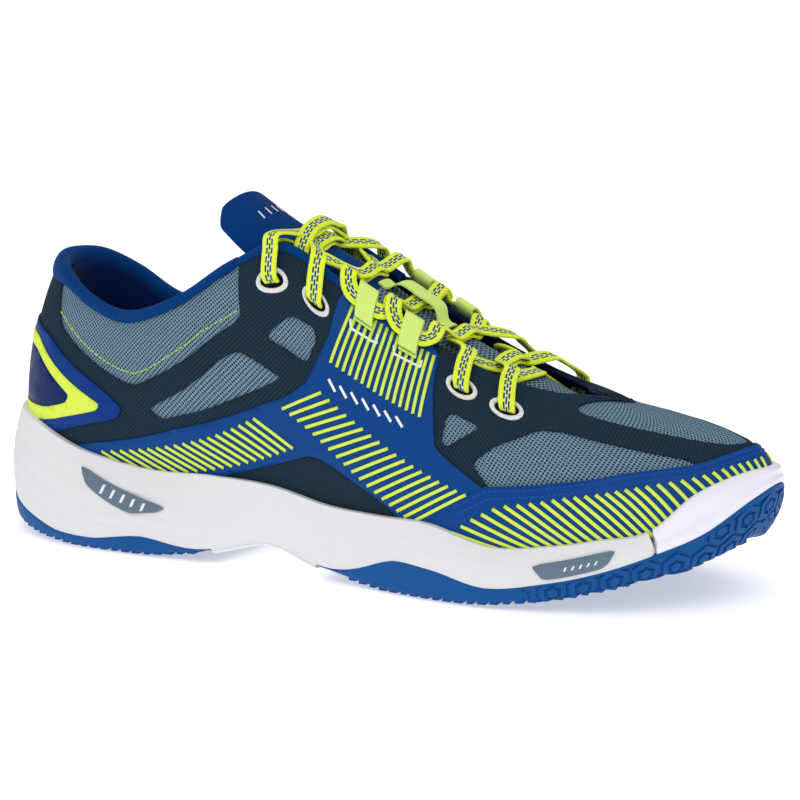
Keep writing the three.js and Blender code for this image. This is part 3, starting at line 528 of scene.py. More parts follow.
# %% Film, foam and rubber material
def moulded(name, colour, rough, grain=900, grain_depth=0.12, coat=0.0, mottling=0.06, grime=0.0):
    material = bpy.data.materials.new(name)
    material.use_nodes = True
    nodes, links = material.node_tree.nodes, material.node_tree.links
    nodes.clear()
    face_frame = nodes.new("NodeFrame")
    face_frame.label = "Colour and wear"
    grain_frame = nodes.new("NodeFrame")
    grain_frame.label = "Moulded grain"
    spot = nodes.new("ShaderNodeTexCoord")
    spot.label = "Place on the shoe"
    mottle = nodes.new("ShaderNodeTexNoise")
    mottle.label = "Uneven pigment"
    shade = nodes.new("ShaderNodeMix")
    shade.label = "Lighter and darker patches"
    scuff = nodes.new("ShaderNodeTexNoise")
    scuff.label = "Rubbed places"
    dust = nodes.new("ShaderNodeMix")
    dust.label = "Dust in the rubbed places"
    gloss = nodes.new("ShaderNodeMapRange")
    gloss.label = "Rubbed is duller"
    cells = nodes.new("ShaderNodeTexVoronoi")
    cells.label = "Fine grain of the mould"
    fine = nodes.new("ShaderNodeTexNoise")
    fine.label = "Finer unevenness"
    raised = nodes.new("ShaderNodeBump")
    raised.label = "Grain stands up"
    wavy = nodes.new("ShaderNodeBump")
    wavy.label = "Slightly wavy face"
    shader = nodes.new("ShaderNodeBsdfPrincipled")
    shader.label = "Moulded face"
    out = nodes.new("ShaderNodeOutputMaterial")
    out.label = "Surface"
    order = (spot, mottle, shade, scuff, dust, gloss, cells, fine, raised, wavy, shader, out)
    for k, node in enumerate(order):
        node.location = (k * 190, 0 if k % 2 else 240)
    for node in (mottle, shade, scuff, dust, gloss):
        node.parent = face_frame
    for node in (cells, fine, raised, wavy):
        node.parent = grain_frame
    mottle.inputs["Scale"].default_value = 60
    mottle.inputs["Detail"].default_value = 4
    shade.data_type = "RGBA"
    shade.inputs["A"].default_value = (*[c * (1 - mottling) for c in colour], 1)
    shade.inputs["B"].default_value = (*[min(c * (1 + mottling), 1) for c in colour], 1)
    scuff.inputs["Scale"].default_value = 140
    scuff.inputs["Detail"].default_value = 6
    scuff.inputs["Roughness"].default_value = 0.7
    dust.data_type = "RGBA"
    dust.inputs["B"].default_value = (*[c * (1 - grime) + 0.35 * grime for c in colour], 1)
    gloss.inputs["From Min"].default_value = 0.35
    gloss.inputs["From Max"].default_value = 0.7
    gloss.inputs["To Min"].default_value = rough
    gloss.inputs["To Max"].default_value = min(rough + 0.18, 1)
    cells.inputs["Scale"].default_value = grain
    fine.inputs["Scale"].default_value = 3000
    raised.inputs["Strength"].default_value = grain_depth
    raised.inputs["Distance"].default_value = 0.0003
    wavy.inputs["Strength"].default_value = 0.05
    wavy.inputs["Distance"].default_value = 0.0004
    shader.inputs["Specular IOR Level"].default_value = 0.12
    shader.inputs["Coat Weight"].default_value = coat
    shader.inputs["Coat Roughness"].default_value = 0.15
    links.new(spot.outputs["Object"], mottle.inputs["Vector"])
    links.new(spot.outputs["Object"], scuff.inputs["Vector"])
    links.new(spot.outputs["Object"], cells.inputs["Vector"])
    links.new(spot.outputs["Object"], fine.inputs["Vector"])
    links.new(mottle.outputs["Fac"], shade.inputs["Factor"])
    links.new(shade.outputs["Result"], dust.inputs["A"])
    links.new(gloss.outputs["Result"], shader.inputs["Roughness"])
    links.new(scuff.outputs["Fac"], gloss.inputs["Value"])
    links.new(scuff.outputs["Fac"], dust.inputs["Factor"])
    links.new(dust.outputs["Result"], shader.inputs["Base Color"])
    links.new(cells.outputs["Distance"], raised.inputs["Height"])
    links.new(fine.outputs["Fac"], wavy.inputs["Height"])
    links.new(raised.outputs["Normal"], wavy.inputs["Normal"])
    links.new(wavy.outputs["Normal"], shader.inputs["Normal"])
    links.new(shader.outputs["BSDF"], out.inputs["Surface"])
    return material


blue_film = moulded("blue_film", srgb(0x004084), 0.42, grain=1100, grain_depth=0.1)
# The heel patch is the blue film made darker: this darker blue is painted shade
patch_blue_painted_shade = moulded("patch_blue_painted_shade", srgb(0x003480), 0.4, grain=900, grain_depth=0.08)
navy_film = moulded("navy_film", srgb(0x00205C), 0.42, grain=900, grain_depth=0.08)
lime_ink = moulded("lime_ink", srgb(0xD8EC52), 0.45, grain=1200, grain_depth=0.05, mottling=0.04)
white_ink = moulded("white_ink", srgb(0xF2F4F6), 0.5, grain=1200, grain_depth=0.05, mottling=0.02)
white_foam = moulded("white_foam", srgb(0xDEDEE1), 0.55, grain=700, grain_depth=0.08, mottling=0.02,
                     grime=0.03)
white_rubber = moulded("white_rubber", srgb(0xE9E9F4), 0.22, grain=500, grain_depth=0.03, coat=0.4,
                       mottling=0.015)
blue_rubber = moulded("blue_rubber", srgb(0x004F92), 0.45, grain=800, grain_depth=0.12, mottling=0.08,
                      grime=0.03)
insert_plastic = moulded("insert_plastic", srgb(0x5F7283), 0.3, grain=600, grain_depth=0.05, coat=0.3)
clear_plastic = moulded("clear_plastic", srgb(0xE6F2A4), 0.2, grain=500, grain_depth=0.03, coat=0.5)
open_foam = moulded("open_foam", srgb(0x8A9099), 0.95, grain=1600, grain_depth=0.6, mottling=0.12)
fibre_board = moulded("fibre_board", srgb(0xC4BDAC), 0.9, grain=1500, grain_depth=0.4, mottling=0.12)
lime_rubber = moulded("lime_rubber", srgb(0xCDE63A), 0.5, grain=700, grain_depth=0.1)
print("moulded finishes:", 13)

# %% [markdown]
# ## Woven lace and webbing
# A flat lace is a tube of yarn pressed flat. Its rows of slanted yarns show as fine chevrons, and
# two rows of blue flecks run along the middle. The UV map runs along the lace and across it, so a
# Brick texture, with its offset rows, sets the flecks.


# %% Woven material
def woven(name, yarn, fleck, fleck_from=2.0, fleck_to=4.2, rib=0.9, rib_depth=0.5):
    material = bpy.data.materials.new(name)
    material.use_nodes = True
    nodes, links = material.node_tree.nodes, material.node_tree.links
    nodes.clear()
    fleck_frame = nodes.new("NodeFrame")
    fleck_frame.label = "Rows of flecks"
    weave_frame = nodes.new("NodeFrame")
    weave_frame.label = "Weave"
    ribbon = nodes.new("ShaderNodeUVMap")
    ribbon.label = "Along and across the ribbon"
    size = nodes.new("ShaderNodeMapping")
    size.label = "Fleck length and row height"
    bricks = nodes.new("ShaderNodeTexBrick")
    bricks.label = "Staggered flecks"
    split = nodes.new("ShaderNodeSeparateXYZ")
    split.label = "Distance across"
    above = nodes.new("ShaderNodeMath")
    above.label = "Past the first edge row"
    below = nodes.new("ShaderNodeMath")
    below.label = "Before the last edge row"
    both = nodes.new("ShaderNodeMath")
    both.label = "Only in the middle"
    shown = nodes.new("ShaderNodeMath")
    shown.label = "Flecks in the middle"
    colour = nodes.new("ShaderNodeMix")
    colour.label = "Yarn or fleck"
    ribs = nodes.new("ShaderNodeTexWave")
    ribs.label = "Slanted yarns"
    raised = nodes.new("ShaderNodeBump")
    raised.label = "Yarns stand up"
    shader = nodes.new("ShaderNodeBsdfPrincipled")
    shader.label = "Polyester yarn"
    out = nodes.new("ShaderNodeOutputMaterial")
    out.label = "Surface"
    order = (ribbon, size, bricks, split, above, below, both, shown, colour, ribs, raised, shader, out)
    for k, node in enumerate(order):
        node.location = (k * 190, 0 if k % 2 else 240)
    for node in (size, bricks, split, above, below, both, shown):
        node.parent = fleck_frame
    for node in (ribs, raised):
        node.parent = weave_frame
    ribbon.uv_map = "cloth"
    size.inputs["Location"].default_value = (0, -fleck_from / 10 * 11, 0)
    size.inputs["Scale"].default_value = (3.1, 11, 1)
    bricks.offset = 0.5
    bricks.inputs["Color1"].default_value = (1, 1, 1, 1)
    bricks.inputs["Color2"].default_value = (1, 1, 1, 1)
    bricks.inputs["Mortar"].default_value = (0, 0, 0, 1)
    bricks.inputs["Scale"].default_value = 1
    bricks.inputs["Mortar Size"].default_value = 0.14
    bricks.inputs["Mortar Smooth"].default_value = 0.1
    bricks.inputs["Brick Width"].default_value = 1
    bricks.inputs["Row Height"].default_value = 1
    above.operation = "GREATER_THAN"
    above.inputs[1].default_value = fleck_from / 10
    below.operation = "LESS_THAN"
    below.inputs[1].default_value = fleck_to / 10
    both.operation = "MULTIPLY"
    shown.operation = "MULTIPLY"
    colour.data_type = "RGBA"
    colour.inputs["A"].default_value = (*yarn, 1)
    colour.inputs["B"].default_value = (*fleck, 1)
    ribs.bands_direction = "DIAGONAL"
    ribs.inputs["Scale"].default_value = 3.2 / rib
    ribs.inputs["Distortion"].default_value = 0.6
    raised.inputs["Strength"].default_value = rib_depth
    raised.inputs["Distance"].default_value = 0.0003
    shader.inputs["Roughness"].default_value = 0.75
    shader.inputs["Specular IOR Level"].default_value = 0.15
    shader.inputs["Sheen Weight"].default_value = 0.05
    links.new(ribbon.outputs["UV"], size.inputs["Vector"])
    links.new(ribbon.outputs["UV"], split.inputs["Vector"])
    links.new(ribbon.outputs["UV"], ribs.inputs["Vector"])
    links.new(size.outputs["Vector"], bricks.inputs["Vector"])
    links.new(split.outputs["Y"], above.inputs[0])
    links.new(split.outputs["Y"], below.inputs[0])
    links.new(above.outputs["Value"], both.inputs[0])
    links.new(below.outputs["Value"], both.inputs[1])
    links.new(both.outputs["Value"], shown.inputs[0])
    links.new(bricks.outputs["Color"], shown.inputs[1])
    links.new(shown.outputs["Value"], colour.inputs["Factor"])
    links.new(colour.outputs["Result"], shader.inputs["Base Color"])
    links.new(ribs.outputs["Fac"], raised.inputs["Height"])
    links.new(raised.outputs["Normal"], shader.inputs["Normal"])
    links.new(shader.outputs["BSDF"], out.inputs["Surface"])
    return material


lace_weave = woven("lace_weave", srgb(0xE3F340), srgb(0x00418F), fleck_from=1.58, fleck_to=4.32)
loop_webbing = woven("loop_webbing", srgb(0xD4EE7D), srgb(0xD4EE7D), rib=0.6, rib_depth=0.35)
white_thread = woven("white_thread", srgb(0xF0F0EE), srgb(0xF0F0EE), rib=0.35, rib_depth=0.6)
blue_thread = woven("blue_thread", srgb(0x0A4CA6), srgb(0x0A4CA6), rib=0.3)
lime_thread = woven("lime_thread", srgb(0xC4E03A), srgb(0xC4E03A), rib=0.3)
dark_thread = woven("dark_thread", srgb(0x18242E), srgb(0x18242E), rib=0.3)
grey_thread = woven("grey_thread", srgb(0x8D98A0), srgb(0x8D98A0), rib=0.3)
print("woven finishes:", 7)

# %% [markdown]
# ## The bootie
# One sock of mesh runs round the whole foot, open at the collar and the throat. It is a grid,
# closed at the heel, laid on the surface itself. The two sides meet along the vamp ridge, where
# the doubles are merged. Solidify then gives the cloth its thickness towards the foot.

# %% The mesh bootie
bootie = bmesh.new()
bmesh.ops.create_grid(bootie, x_segments=256, y_segments=36, size=1)
for v in bootie.verts:
    v.co = ((v.co.x + 1) * 16, (v.co.y + 1) / 2, 0)
lay(bootie, lambda w, h: skin(w, h, 0))
sock = piece("mesh_bootie", bootie, pale_mesh, stands_for=["upper_mesh"], slot="mesh", weld=1e-6, solid=-1.1)
sock.data.materials.append(lining_knit)
sock.modifiers["thickness"].material_offset = 1
sock.modifiers["thickness"].material_offset_rim = 1

# %% [markdown]
# ## Dark film with windows
# A film is welded over the mesh wherever the foot pushes hardest, and windows in it let the pale
# mesh show and breathe. Both sides and the toe are one pattern here, with the medial side as a
# mirror of the lateral one.

# %% The dark film
film_top = [(0, 1), (1.75, 1), (1.95, 0.9), (2.15, 0.79), (2.35, 0.74), (3, 0.68), (3.62, 0.61), (3.92, 0.58),
            (4.1, 0.58), (4.42, 0.62), (5.45, 0.72), (6.05, 0.755), (6.2, 0.78), (6.18, 0.985)]
toe_cut = [(14.5, 1), (13.9, 0.975), (13.3, 0.93), (12.75, 0.86), (12.6, 0.82), (12.7, 0.795), (13.22, 0.74),
           (13.68, 0.7),
           (14.18, 0.67), (14.8, 0.63), (15.3, 0.61), (15.7, 0.62), (16, 0.63)]
film_left = film_top + [(6.3, 1), (9, 1), (11, 1), (13, 1), (14, 1), *toe_cut]
film_outline = [(0, 0), (ROUND, 0)] + [(ROUND - w, h) for w, h in film_left] + film_left[-2::-1]
rear_window = [(4.2, 0.46), (4.4, 0.4), (4.65, 0.42), (6.75, 0.54), (6.55, 0.57), (6.07, 0.65), (5.88, 0.65),
               (5.55, 0.63)]
upper_window = [(6.57, 0.68), (7.15, 0.76), (7.57, 0.76), (7.6, 0.72), (7.3, 0.61)]
fore_triangle = [(9.9, 0.69), (10.42, 0.65), (9.7, 0.51), (9.65, 0.54)]
fore_window = [(10.07, 0.46), (10.58, 0.57), (11.42, 0.68), (11.9, 0.67), (12.72, 0.61), (13.38, 0.56),
               (14.3, 0.495), (14.2, 0.4), (12.3, 0.36), (10.3, 0.32)]
windows = [rounded(w, 2, 0.14) for w in (rear_window, upper_window, fore_triangle, fore_window)]
windows += [mirrored(w) for w in windows]
overlay("dark_film", film_outline, dark_mesh, 0.3, 0.45, windows,
        stands_for=["quarter_film_lateral", "quarter_film_medial", "vamp_film"], slot="dark_film")

# %% [markdown]
# ## Blue overlays
# The saddle wraps the midfoot from the sole to the laces and a band runs from it back to the
# heel. The mudguard guards the toe. Each is a thicker film on top of the dark one, so it is laid
# a little further out, with its edge showing.

# %% Saddle, rear band and mudguard
saddle = [(8.12, 0.99), (9.78, 0.99), (9.62, 0.64), (9.55, 0.56), (9.5, 0.49), (10.25, 0.33), (9.7, 0.16),
          (8.9, 0.0), (8.3, 0.0), (8.4, 0.14), (8.02, 0.2), (7.38, 0.26), (7.05, 0.28), (6.7, 0.28),
          (6.7, 0.48),
          (6.92, 0.5), (7.2, 0.54), (7.32, 0.57), (7.6, 0.66), (7.9, 0.78)]
band = [(2.45, 0.0), (2.5, 0.13), (3.72, 0.26), (4.62, 0.36), (6.35, 0.46), (6.95, 0.49), (7.0, 0.29),
        (6.72, 0.27), (5.82, 0.2), (5, 0.12), (4.6, 0.0)]
saddle, band = rounded(saddle, 2, 0.15), rounded(band, 2, 0.12)
for side, shape in (("lateral", lambda o: o), ("medial", mirrored)):
    overlay(f"rear_band_{side}", shape(band), blue_film, 0.8, 0.5, stands_for=[f"rear_band_{side}"],
            slot="blue_film")
    overlay(f"saddle_{side}", shape(saddle), blue_film, 0.95, 0.5, stands_for=[f"saddle_{side}"],
            slot="blue_film")
guard_top = [(8.75, 0.0), (8.85, 0.14), (9.5, 0.26), (10.2, 0.36), (11.38, 0.39), (12.32, 0.4), (13.12, 0.42),
             (14.25, 0.46), (15.05, 0.52), (15.6, 0.57), (16, 0.585)]
guard = guard_top + [(ROUND - w, h) for w, h in reversed(guard_top[:-1])]
overlay("toe_mudguard", guard, blue_film, 1.15, 0.5, stands_for=["mudguard"], slot="blue_film")

# %% [markdown]
# ## Heel patch and badge
# The heel patch comes to a point on each side, and a lime chevron lies on it. The maker's figures
# inside the chevron are left out.

# %% Heel patch and badge
patch_half = [(0, 0.7), (1.57, 0.67), (2.07, 0.66), (2.92, 0.58), (3.42, 0.52), (3.75, 0.44), (3.67, 0.38),
              (3.42, 0.34),
              (2.92, 0.28), (2.27, 0.19), (0, 0.17)]
chevron_half = [(0, 0.64), (1.55, 0.63), (1.75, 0.61), (3.35, 0.44), (3.35, 0.41), (3.25, 0.38),
                (2.05, 0.24), (0, 0.22)]
inner_half = [(0, 0.58), (1.5, 0.575), (1.77, 0.56), (2.72, 0.44), (2.75, 0.42), (2.67, 0.38), (2.05, 0.31),
              (0, 0.29)]


def both_ways(half):
    return half + [(-w, h) for w, h in reversed(half) if w > 0]


# The heel patch takes the darker blue, painted shade of the heel
overlay("heel_patch", rounded(both_ways(patch_half), 2, 0.2), patch_blue_painted_shade, 0.85, 0.6,
        stands_for=["heel_patch"], slot="blue_film")
overlay("heel_chevron", rounded(both_ways(chevron_half), 2, 0.2), lime_ink, 1.5, 0.35,
        [rounded(both_ways(inner_half), 2, 0.2)], stands_for=["heel_badge"], slot="lime_film")
overlay("heel_inset", rounded(both_ways(inner_half), 2, 0.2), navy_film, 1.4, 0.2, slot="blue_film")


# %% [markdown]
# ## Printed bars
# Lime bars are screen-printed on every blue overlay. Each group leans its own way, so a group is
# set by its first and last bar, and the rest are spaced evenly between them.

# %% Lime bars
def spaced(first, last, count):
    """Bars evenly spaced between the first and the last one. A bar is (start, end)."""
    first, last = np.array(first, float), np.array(last, float)
    return [tuple(map(tuple, first + (last - first) * k / (count - 1))) for k in range(count)]


band_bars = spaced([(3.3, 0.165), (3.85, 0.06)], [(6.02, 0.405), (6.6, 0.3)], 19)
lower_bars = spaced([(6.62, 0.44), (7.5, 0.535)], [(8.62, 0.13), (9.82, 0.31)], 18)
upper_bars = spaced([(8.3, 0.94), (7.82, 0.665)], [(9.66, 0.93), (9.36, 0.61)], 15)
guard_row = [(9.35, 0.12), (9.8, 0.2), (10.3, 0.27), (11.4, 0.315), (12.4, 0.325), (13.1, 0.34),
             (14.2, 0.385), (15.1, 0.445), (16, 0.5)]
guard_bars = []
for w in np.arange(9.35, 16.01, 0.215):
    top = float(np.interp(w, *np.array(guard_row).T))
    lean = float(np.interp(w, [9.3, 11, 13, 14.5, 15.4, 16], [1.25, 1.15, 0.95, 0.75, 0.4, 0.02]))
    guard_bars.append(((w, top), (w + lean, max(top - 0.34, 0.02))))
for side, flip in (("lateral", False), ("medial", True)):
    def turn(bars):
        return [tuple((ROUND - w, h) for w, h in bar) for bar in bars] if flip else bars
    stripes(f"band_bars_{side}", turn(band_bars), lime_ink, 1.15, 1.38, slot="lime_film")
    stripes(f"saddle_bars_{side}", turn(lower_bars + upper_bars), lime_ink, 1.15, 1.53, slot="lime_film")
    stripes(f"mudguard_bars_{side}", turn(guard_bars), lime_ink, 1.25, 1.72, slot="lime_film")
    word = [((7.72 + 0.2 * k, 0.60 - 0.004 * k), (7.80 + 0.2 * k, 0.565 - 0.004 * k)) for k in range(7)]
    stripes(f"white_bars_{side}", turn(word), white_ink, 0.9, 1.55, slot="white_stitch")

# %% [markdown]
# ## Stitching
# Two rows of blue thread hold the mudguard, a lime row follows the collar, and a zigzag closes
# the foot of the throat. Real thread stands proud of the cloth, so each stitch is a small bar.

# %% Rows of stitches
guard_seam = [(w, h - 0.022) for w, h in guard_top[2:]]
lower_seam = [(w, h - 0.055) for w, h in guard_top[2:]]
seams = []
for row in (guard_seam, lower_seam):
    seams += [row, [(ROUND - w, h) for w, h in row]]
stitches("mudguard_stitches", seams, blue_thread, pitch=2.0, long=1.6, wide=0.7, d=1.75)
collar_row = [(2.12, 0.8), (2.6, 0.765), (3.05, 0.72), (3.47, 0.68), (3.77, 0.655), (4.05, 0.64),
              (4.3, 0.66), (4.8, 0.72),
              (5.42, 0.775), (5.98, 0.79), (6.14, 0.8)]
stitches("collar_stitches", [collar_row, [(-w, h) for w, h in collar_row]], lime_thread, pitch=2.1, long=1.5,
         wide=0.4, d=0.2)
zigzag = [(13.2 + 0.1 * k, 0.955 + 0.02 * (k % 2)) for k in range(9)] + [(14.05, 0.985)]
stitches("throat_zigzag", [zigzag, [(ROUND - w, h) for w, h in zigzag]], dark_thread, pitch=1.2, long=1.3,
         wide=0.5, d=0.9)
brackets = []
for w in (8.5, 9.25):
    brackets.append([(w - 0.23, 0.875), (w - 0.22, 0.84), (w + 0.22, 0.84), (w + 0.23, 0.875)])
brackets += [[(ROUND - w, h) for w, h in row] for row in brackets]
stitches("loop_stitches", brackets, white_thread, pitch=0.9, long=1.0, wide=0.9, d=1.7)
bartacks = [[(8.2, 0.955), (8.2, 0.99)], [(ROUND - 8.2, 0.955), (ROUND - 8.2, 0.99)]]
stitches("bartacks", bartacks, grey_thread, pitch=0.5, long=0.4, wide=3.4, d=1.7)

# %% [markdown]
# ## Collar
# The collar is a padded roll of fine knit: it turns over the top edge, swells over its foam and
# lies back against the heel counter inside. Each part is a section swept round the heel, from
# where the lacing starts on one side to the same place on the other. The roll is deep at the back
# of the heel and narrower at the sides. A thin bound edge carries on from it along the throat.


# %% Sweeping round the heel
def smooth_loop(points, count=6):
    """A closed smooth curve through the points of a section."""
    p = np.array(points, float)
    t = np.arange(count)[:, None] / count
    rows = []
    for k in range(len(p)):
        a, b, c, d = (p[(k + step) % len(p)] for step in (-1, 0, 1, 2))
        rows.append(0.5 * (2 * b + (c - a) * t + (2 * a - 5 * b + 4 * c - d) * t**2
                           + (3 * b - a - 3 * c + d) * t**3))
    return np.concatenate(rows)


COLLAR_END = 6.1
collar_w = np.linspace(-COLLAR_END, COLLAR_END, 150)
roll = smooth_loop([(-7.5, 0.9), (-5, 2.0), (-2, 2.3), (0.4, 1.6), (1.3, 0), (1.0, -1.8), (-0.6, -3.3),
                    (-3.5, -4.1), (-7, -4.2),
                    (-7, -3.0), (-3, -2.4), (-0.6, -1.2), (-0.4, 0.1), (-3, 0.5), (-7.2, 0.45)], 3)
sections = []
for w in collar_w:
    drop = 1 - ease(abs(w), 0.9, 2.6, 0.55)
    sections.append([collar_point(w, e * (drop if d > 0.4 and e < 0 else 1), d)[0] for e, d in roll])
collar_roll = piece("collar_roll", sleeve(sections), collar_knit, stands_for=["collar_binding"],
                    slot="collar_knit", sharp=70)
edge_loop = smooth_loop([(-2.6, 1.1), (-0.8, 1.5), (0.5, 1.0), (0.9, -0.3), (0.4, -1.5), (-0.9, -2.1),
                         (-2.8, -2.0), (-2.6, -1.3), (-0.9, -1.3),
                         (-0.2, -0.5), (-0.3, 0.4), (-2.4, 0.65)], 2)
for side in ("lateral", "medial"):
    reach = np.linspace(6.06, 8.15, 34)
    reach = reach if side == "lateral" else -reach
    binding = np.array([[collar_point(w, e, d)[0] for e, d in edge_loop] for w in reach])
    piece(f"throat_binding_{side}", sleeve(binding), collar_knit, slot="collar_knit", sharp=70)


def lining_depth(w, h):
    taper = np.clip((COLLAR_END - np.abs(w)) / 0.6, 0.1, 1)
    within = np.clip((1 - h) / 0.48, 0, 1)
    return -3.6 - 5.5 * np.sin(np.pi * within) * taper


lining = bmesh.new()
bmesh.ops.create_grid(lining, x_segments=120, y_segments=40, size=1)
for v in lining.verts:
    v.co = (v.co.x * COLLAR_END, 0.05 + (v.co.y + 1) / 2 * 0.915, 0)
lay(lining, lambda w, h: skin(w, h, lining_depth(w, h)))
heel_lining = piece("heel_lining", lining, lining_knit, stands_for=["collar_lining"], slot="lining",
                    solid=-0.9)
for node, finish in (("collar_foam", open_foam), ("heel_counter", fibre_board), ("toe_puff", fibre_board),
                     ("strobel_board", fibre_board), ("heel_cushion", lime_rubber)):
    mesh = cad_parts[node].data
    mesh.materials.clear()
    mesh.materials.append(finish)
print("inner CAD pieces dressed: 5")

# %% [markdown]
# ## The sole's outline
# The sole has its own ring of stations: the widest outline, the underside, and the top edges of
# the tread and of the foam wall. The foam rises as a cup round the upper.

# %% Stations of the sole
# x, lateral y, medial y, underside, tread edge, rim (mm)
SOLE = np.array([
    [1, 0, 0, 6, 15, 46], [5, 20, 19, 5, 14.5, 46], [20, 33, 32, 2, 9, 43], [44, 40, 38.5, 0, 3.8, 35.5],
    [73, 41, 38, 0, 7.3, 31], [102, 39.5, 35, 3.6, 7.4, 31.7], [126, 40, 34, 9, 13, 31],
    [147, 42, 38, 3.6, 7.7, 27],
    [175, 47.5, 45, 0, 12, 26.5], [197, 51, 50.5, 0, 11, 26.3], [218, 51.5, 53, 0.8, 7.2, 20.8],
    [240, 47.5, 50.5, 3.8, 10.5, 22.5], [257, 42.5, 46, 7.8, 15, 25.5], [272.5, 35, 39.5, 12, 21, 28.5],
    [286.5, 24, 31, 15.5, 28, 40.5], [297, 10, 19, 20, 37.5, 46], [301, -5, 5, 24, 41.5, 47.5]])
lateral_rows = np.column_stack([SOLE[:, 0], -SOLE[:, 1], SOLE[:, 3:]])
medial_rows = np.column_stack([SOLE[:, 0], SOLE[:, 2], SOLE[:, 3:]])
SOLE_RING = np.concatenate([lateral_rows, medial_rows[15:0:-1]])
PLATE, CUP, RIM = 3.4, 2.2, 1.3
HEEL_SOLE_END, FORE_SOLE_START, BUMPER_START = 5.0, 7.0, 13.1


def sole_side(w, out, z):
    """A point of the sole's wall, out mm outside the widest outline."""
    w = np.atleast_1d(np.array(w, float))
    along = between(SOLE_RING, w + 0.05)[:, :2] - between(SOLE_RING, w - 0.05)[:, :2]
    away = unit(np.stack([along[:, 1], -along[:, 0]], 1))
    flat = between(SOLE_RING, w)[:, :2] + away * np.reshape(out, (-1, 1))
    return np.column_stack([flat, np.broadcast_to(z, len(w))])


def levels(w):
    row = between(SOLE_RING, np.atleast_1d(np.array(w, float)))[0]
    low = max(row[2], 0)
    return low, max(row[3], low + PLATE + 1), row[4]


def height_fraction(w, z):
    """How far up the upper a given height is."""
    low, high = 0.0, 0.7
    for _ in range(20):
        middle = (low + high) / 2
        if surface(w, middle)[0, 2] < z:
            low = middle
        else:
            high = middle
    return low


def across(stations, chain):
    """Sections from the lateral wall, up and over, to the medial wall."""
    return [list(chain(w)) + list(chain(ROUND - w))[::-1] for w in stations]


print("sole length", SOLE[:, 0].max() - SOLE[:, 0].min())

# %% [markdown]
# ## Foam midsole
# The wall bellies out a little and then leans in to a thin lip against the upper. Shallow curved
# lines are sculpted into the heel and a parting line runs along the wall; they are moved into
# the mesh itself, so that they catch light at any angle.


# %% Midsole
def groove(f, at, wide):
    return math.exp(-((f - at) / wide)**2)


def sculpt(u, f):
    """How far in mm the wall is pushed in at station u and height fraction f."""
    heel = max(0.0, min(1.0, (5.4 - u) / 1.2))
    lines = [0.22 + 0.05 * math.sin(0.9 * u + 0.5), 0.44 + 0.09 * math.sin(0.8 * u + 1.3),
             0.68 + 0.06 * math.sin(1.1 * u)]
    depth = heel * 0.4 * sum(groove(f, at, 0.028) for at in lines)
    middle = max(0.0, 1 - abs(u - 9) / 1.6)
    depth += middle * 0.25 * groove(f, 0.42 + 0.05 * u - 0.45, 0.02)
    depth += middle * 0.25 * groove(f, 0.7 + 0.03 * u - 0.27, 0.02)
    return depth + 0.22 * groove(f, 0.09, 0.015)


def toe_roll(w):
    """How far the tread rolls in under the toe, in mm."""
    return ease(min(w % ROUND, ROUND - w % ROUND), 12, 15.5, 6)


def tread_edge(w):
    """Height of the tread's upper edge, which runs out thin towards the arch."""
    low, edge, _ = levels(w)
    u = min(w % ROUND, ROUND - w % ROUND)
    share = 1 - ease(u, 3.9, HEEL_SOLE_END, 0.75) + ease(u, FORE_SOLE_START, 8.4, 0.75)
    return low + 1 + (edge - low - 1) * min(share, 1)


def midsole_chain(w):
    u = w if w <= TOE else ROUND - w
    low, _, rim = levels(w)
    edge = tread_edge(w)
    bare = HEEL_SOLE_END < u < FORE_SOLE_START
    bumpered = u > BUMPER_START
    top = edge if bumpered else rim
    h = height_fraction(w, top)
    core = 0 if bare else -2.4
    base = low if bare else low + PLATE
    shelf = base + 1.2 if bare else edge
    points = [sole_side(w, core - 1.7 - toe_roll(w), base)[0],
              sole_side(w, core - 0.5 - 0.6 * toe_roll(w), base + 0.3)[0],
              sole_side(w, core - 0.4 * toe_roll(w), base + 1)[0],
              sole_side(w, core, max(shelf - 0.1, base + 1.05))[0]]
    start = sole_side(w, core if bumpered else -0.25, shelf)[0]
    middle = sole_side(w, core if bumpered else 0.35, (shelf + top) / 2)[0]
    lip = sole_side(w, core, top)[0] if bumpered else skin(w, h, CUP + RIM)[0] * [1, 1, 0] + [0, 0, top]
    pull = 2 * middle - (start + lip) / 2
    away = sole_side(w, 1, 0)[0] - sole_side(w, 0, 0)[0]
    for k in range(27):
        f = k / 26
        at = (1 - f)**2 * start + 2 * f * (1 - f) * pull + f * f * lip
        points.append(at if bumpered else at - away * sculpt(u, f))
    inner = [(0.3, CUP + 0.6), (0.45, CUP - 0.6), (0.1, 1.2), (-0.5, 0.25)]
    for rise, d in inner:
        points.append(skin(w, height_fraction(w, top + rise), d)[0])
    points += [skin(w, h * f, 0.1)[0] for f in (0.7, 0.4, 0.1, 0)]
    points.append(skin(w, 0, -4)[0] * [1, 1, 0] + [0, 0, surface(w, 0)[0, 2] - 1.2])
    return points


sole_w = np.sort(np.concatenate([np.linspace(0, TOE, 129), [5.03, 6.97, 13.13]]))
piece("foam_midsole", sleeve(across(sole_w, midsole_chain)), white_foam, stands_for=["midsole"],
      slot="midsole_foam", sharp=50)

# %% [markdown]
# ## Side inserts
# A smooth plastic plate is let into each side of the heel and of the forefoot. Their lettering
# is replaced by a few plain bars.

# %% Inserts
INSERTS = {"heel": [(3.08, 0.84), (3.25, 0.82), (4.3, 0.52), (4.36, 0.47), (4.25, 0.4), (3.9, 0.35),
                    (3.75, 0.4), (3.2, 0.66)],
           "forefoot": [(10.72, 0.58), (12.2, 0.68), (12.3, 0.64), (12.15, 0.28), (12.0, 0.15), (11.0, 0.13),
                        (10.9, 0.17)]}


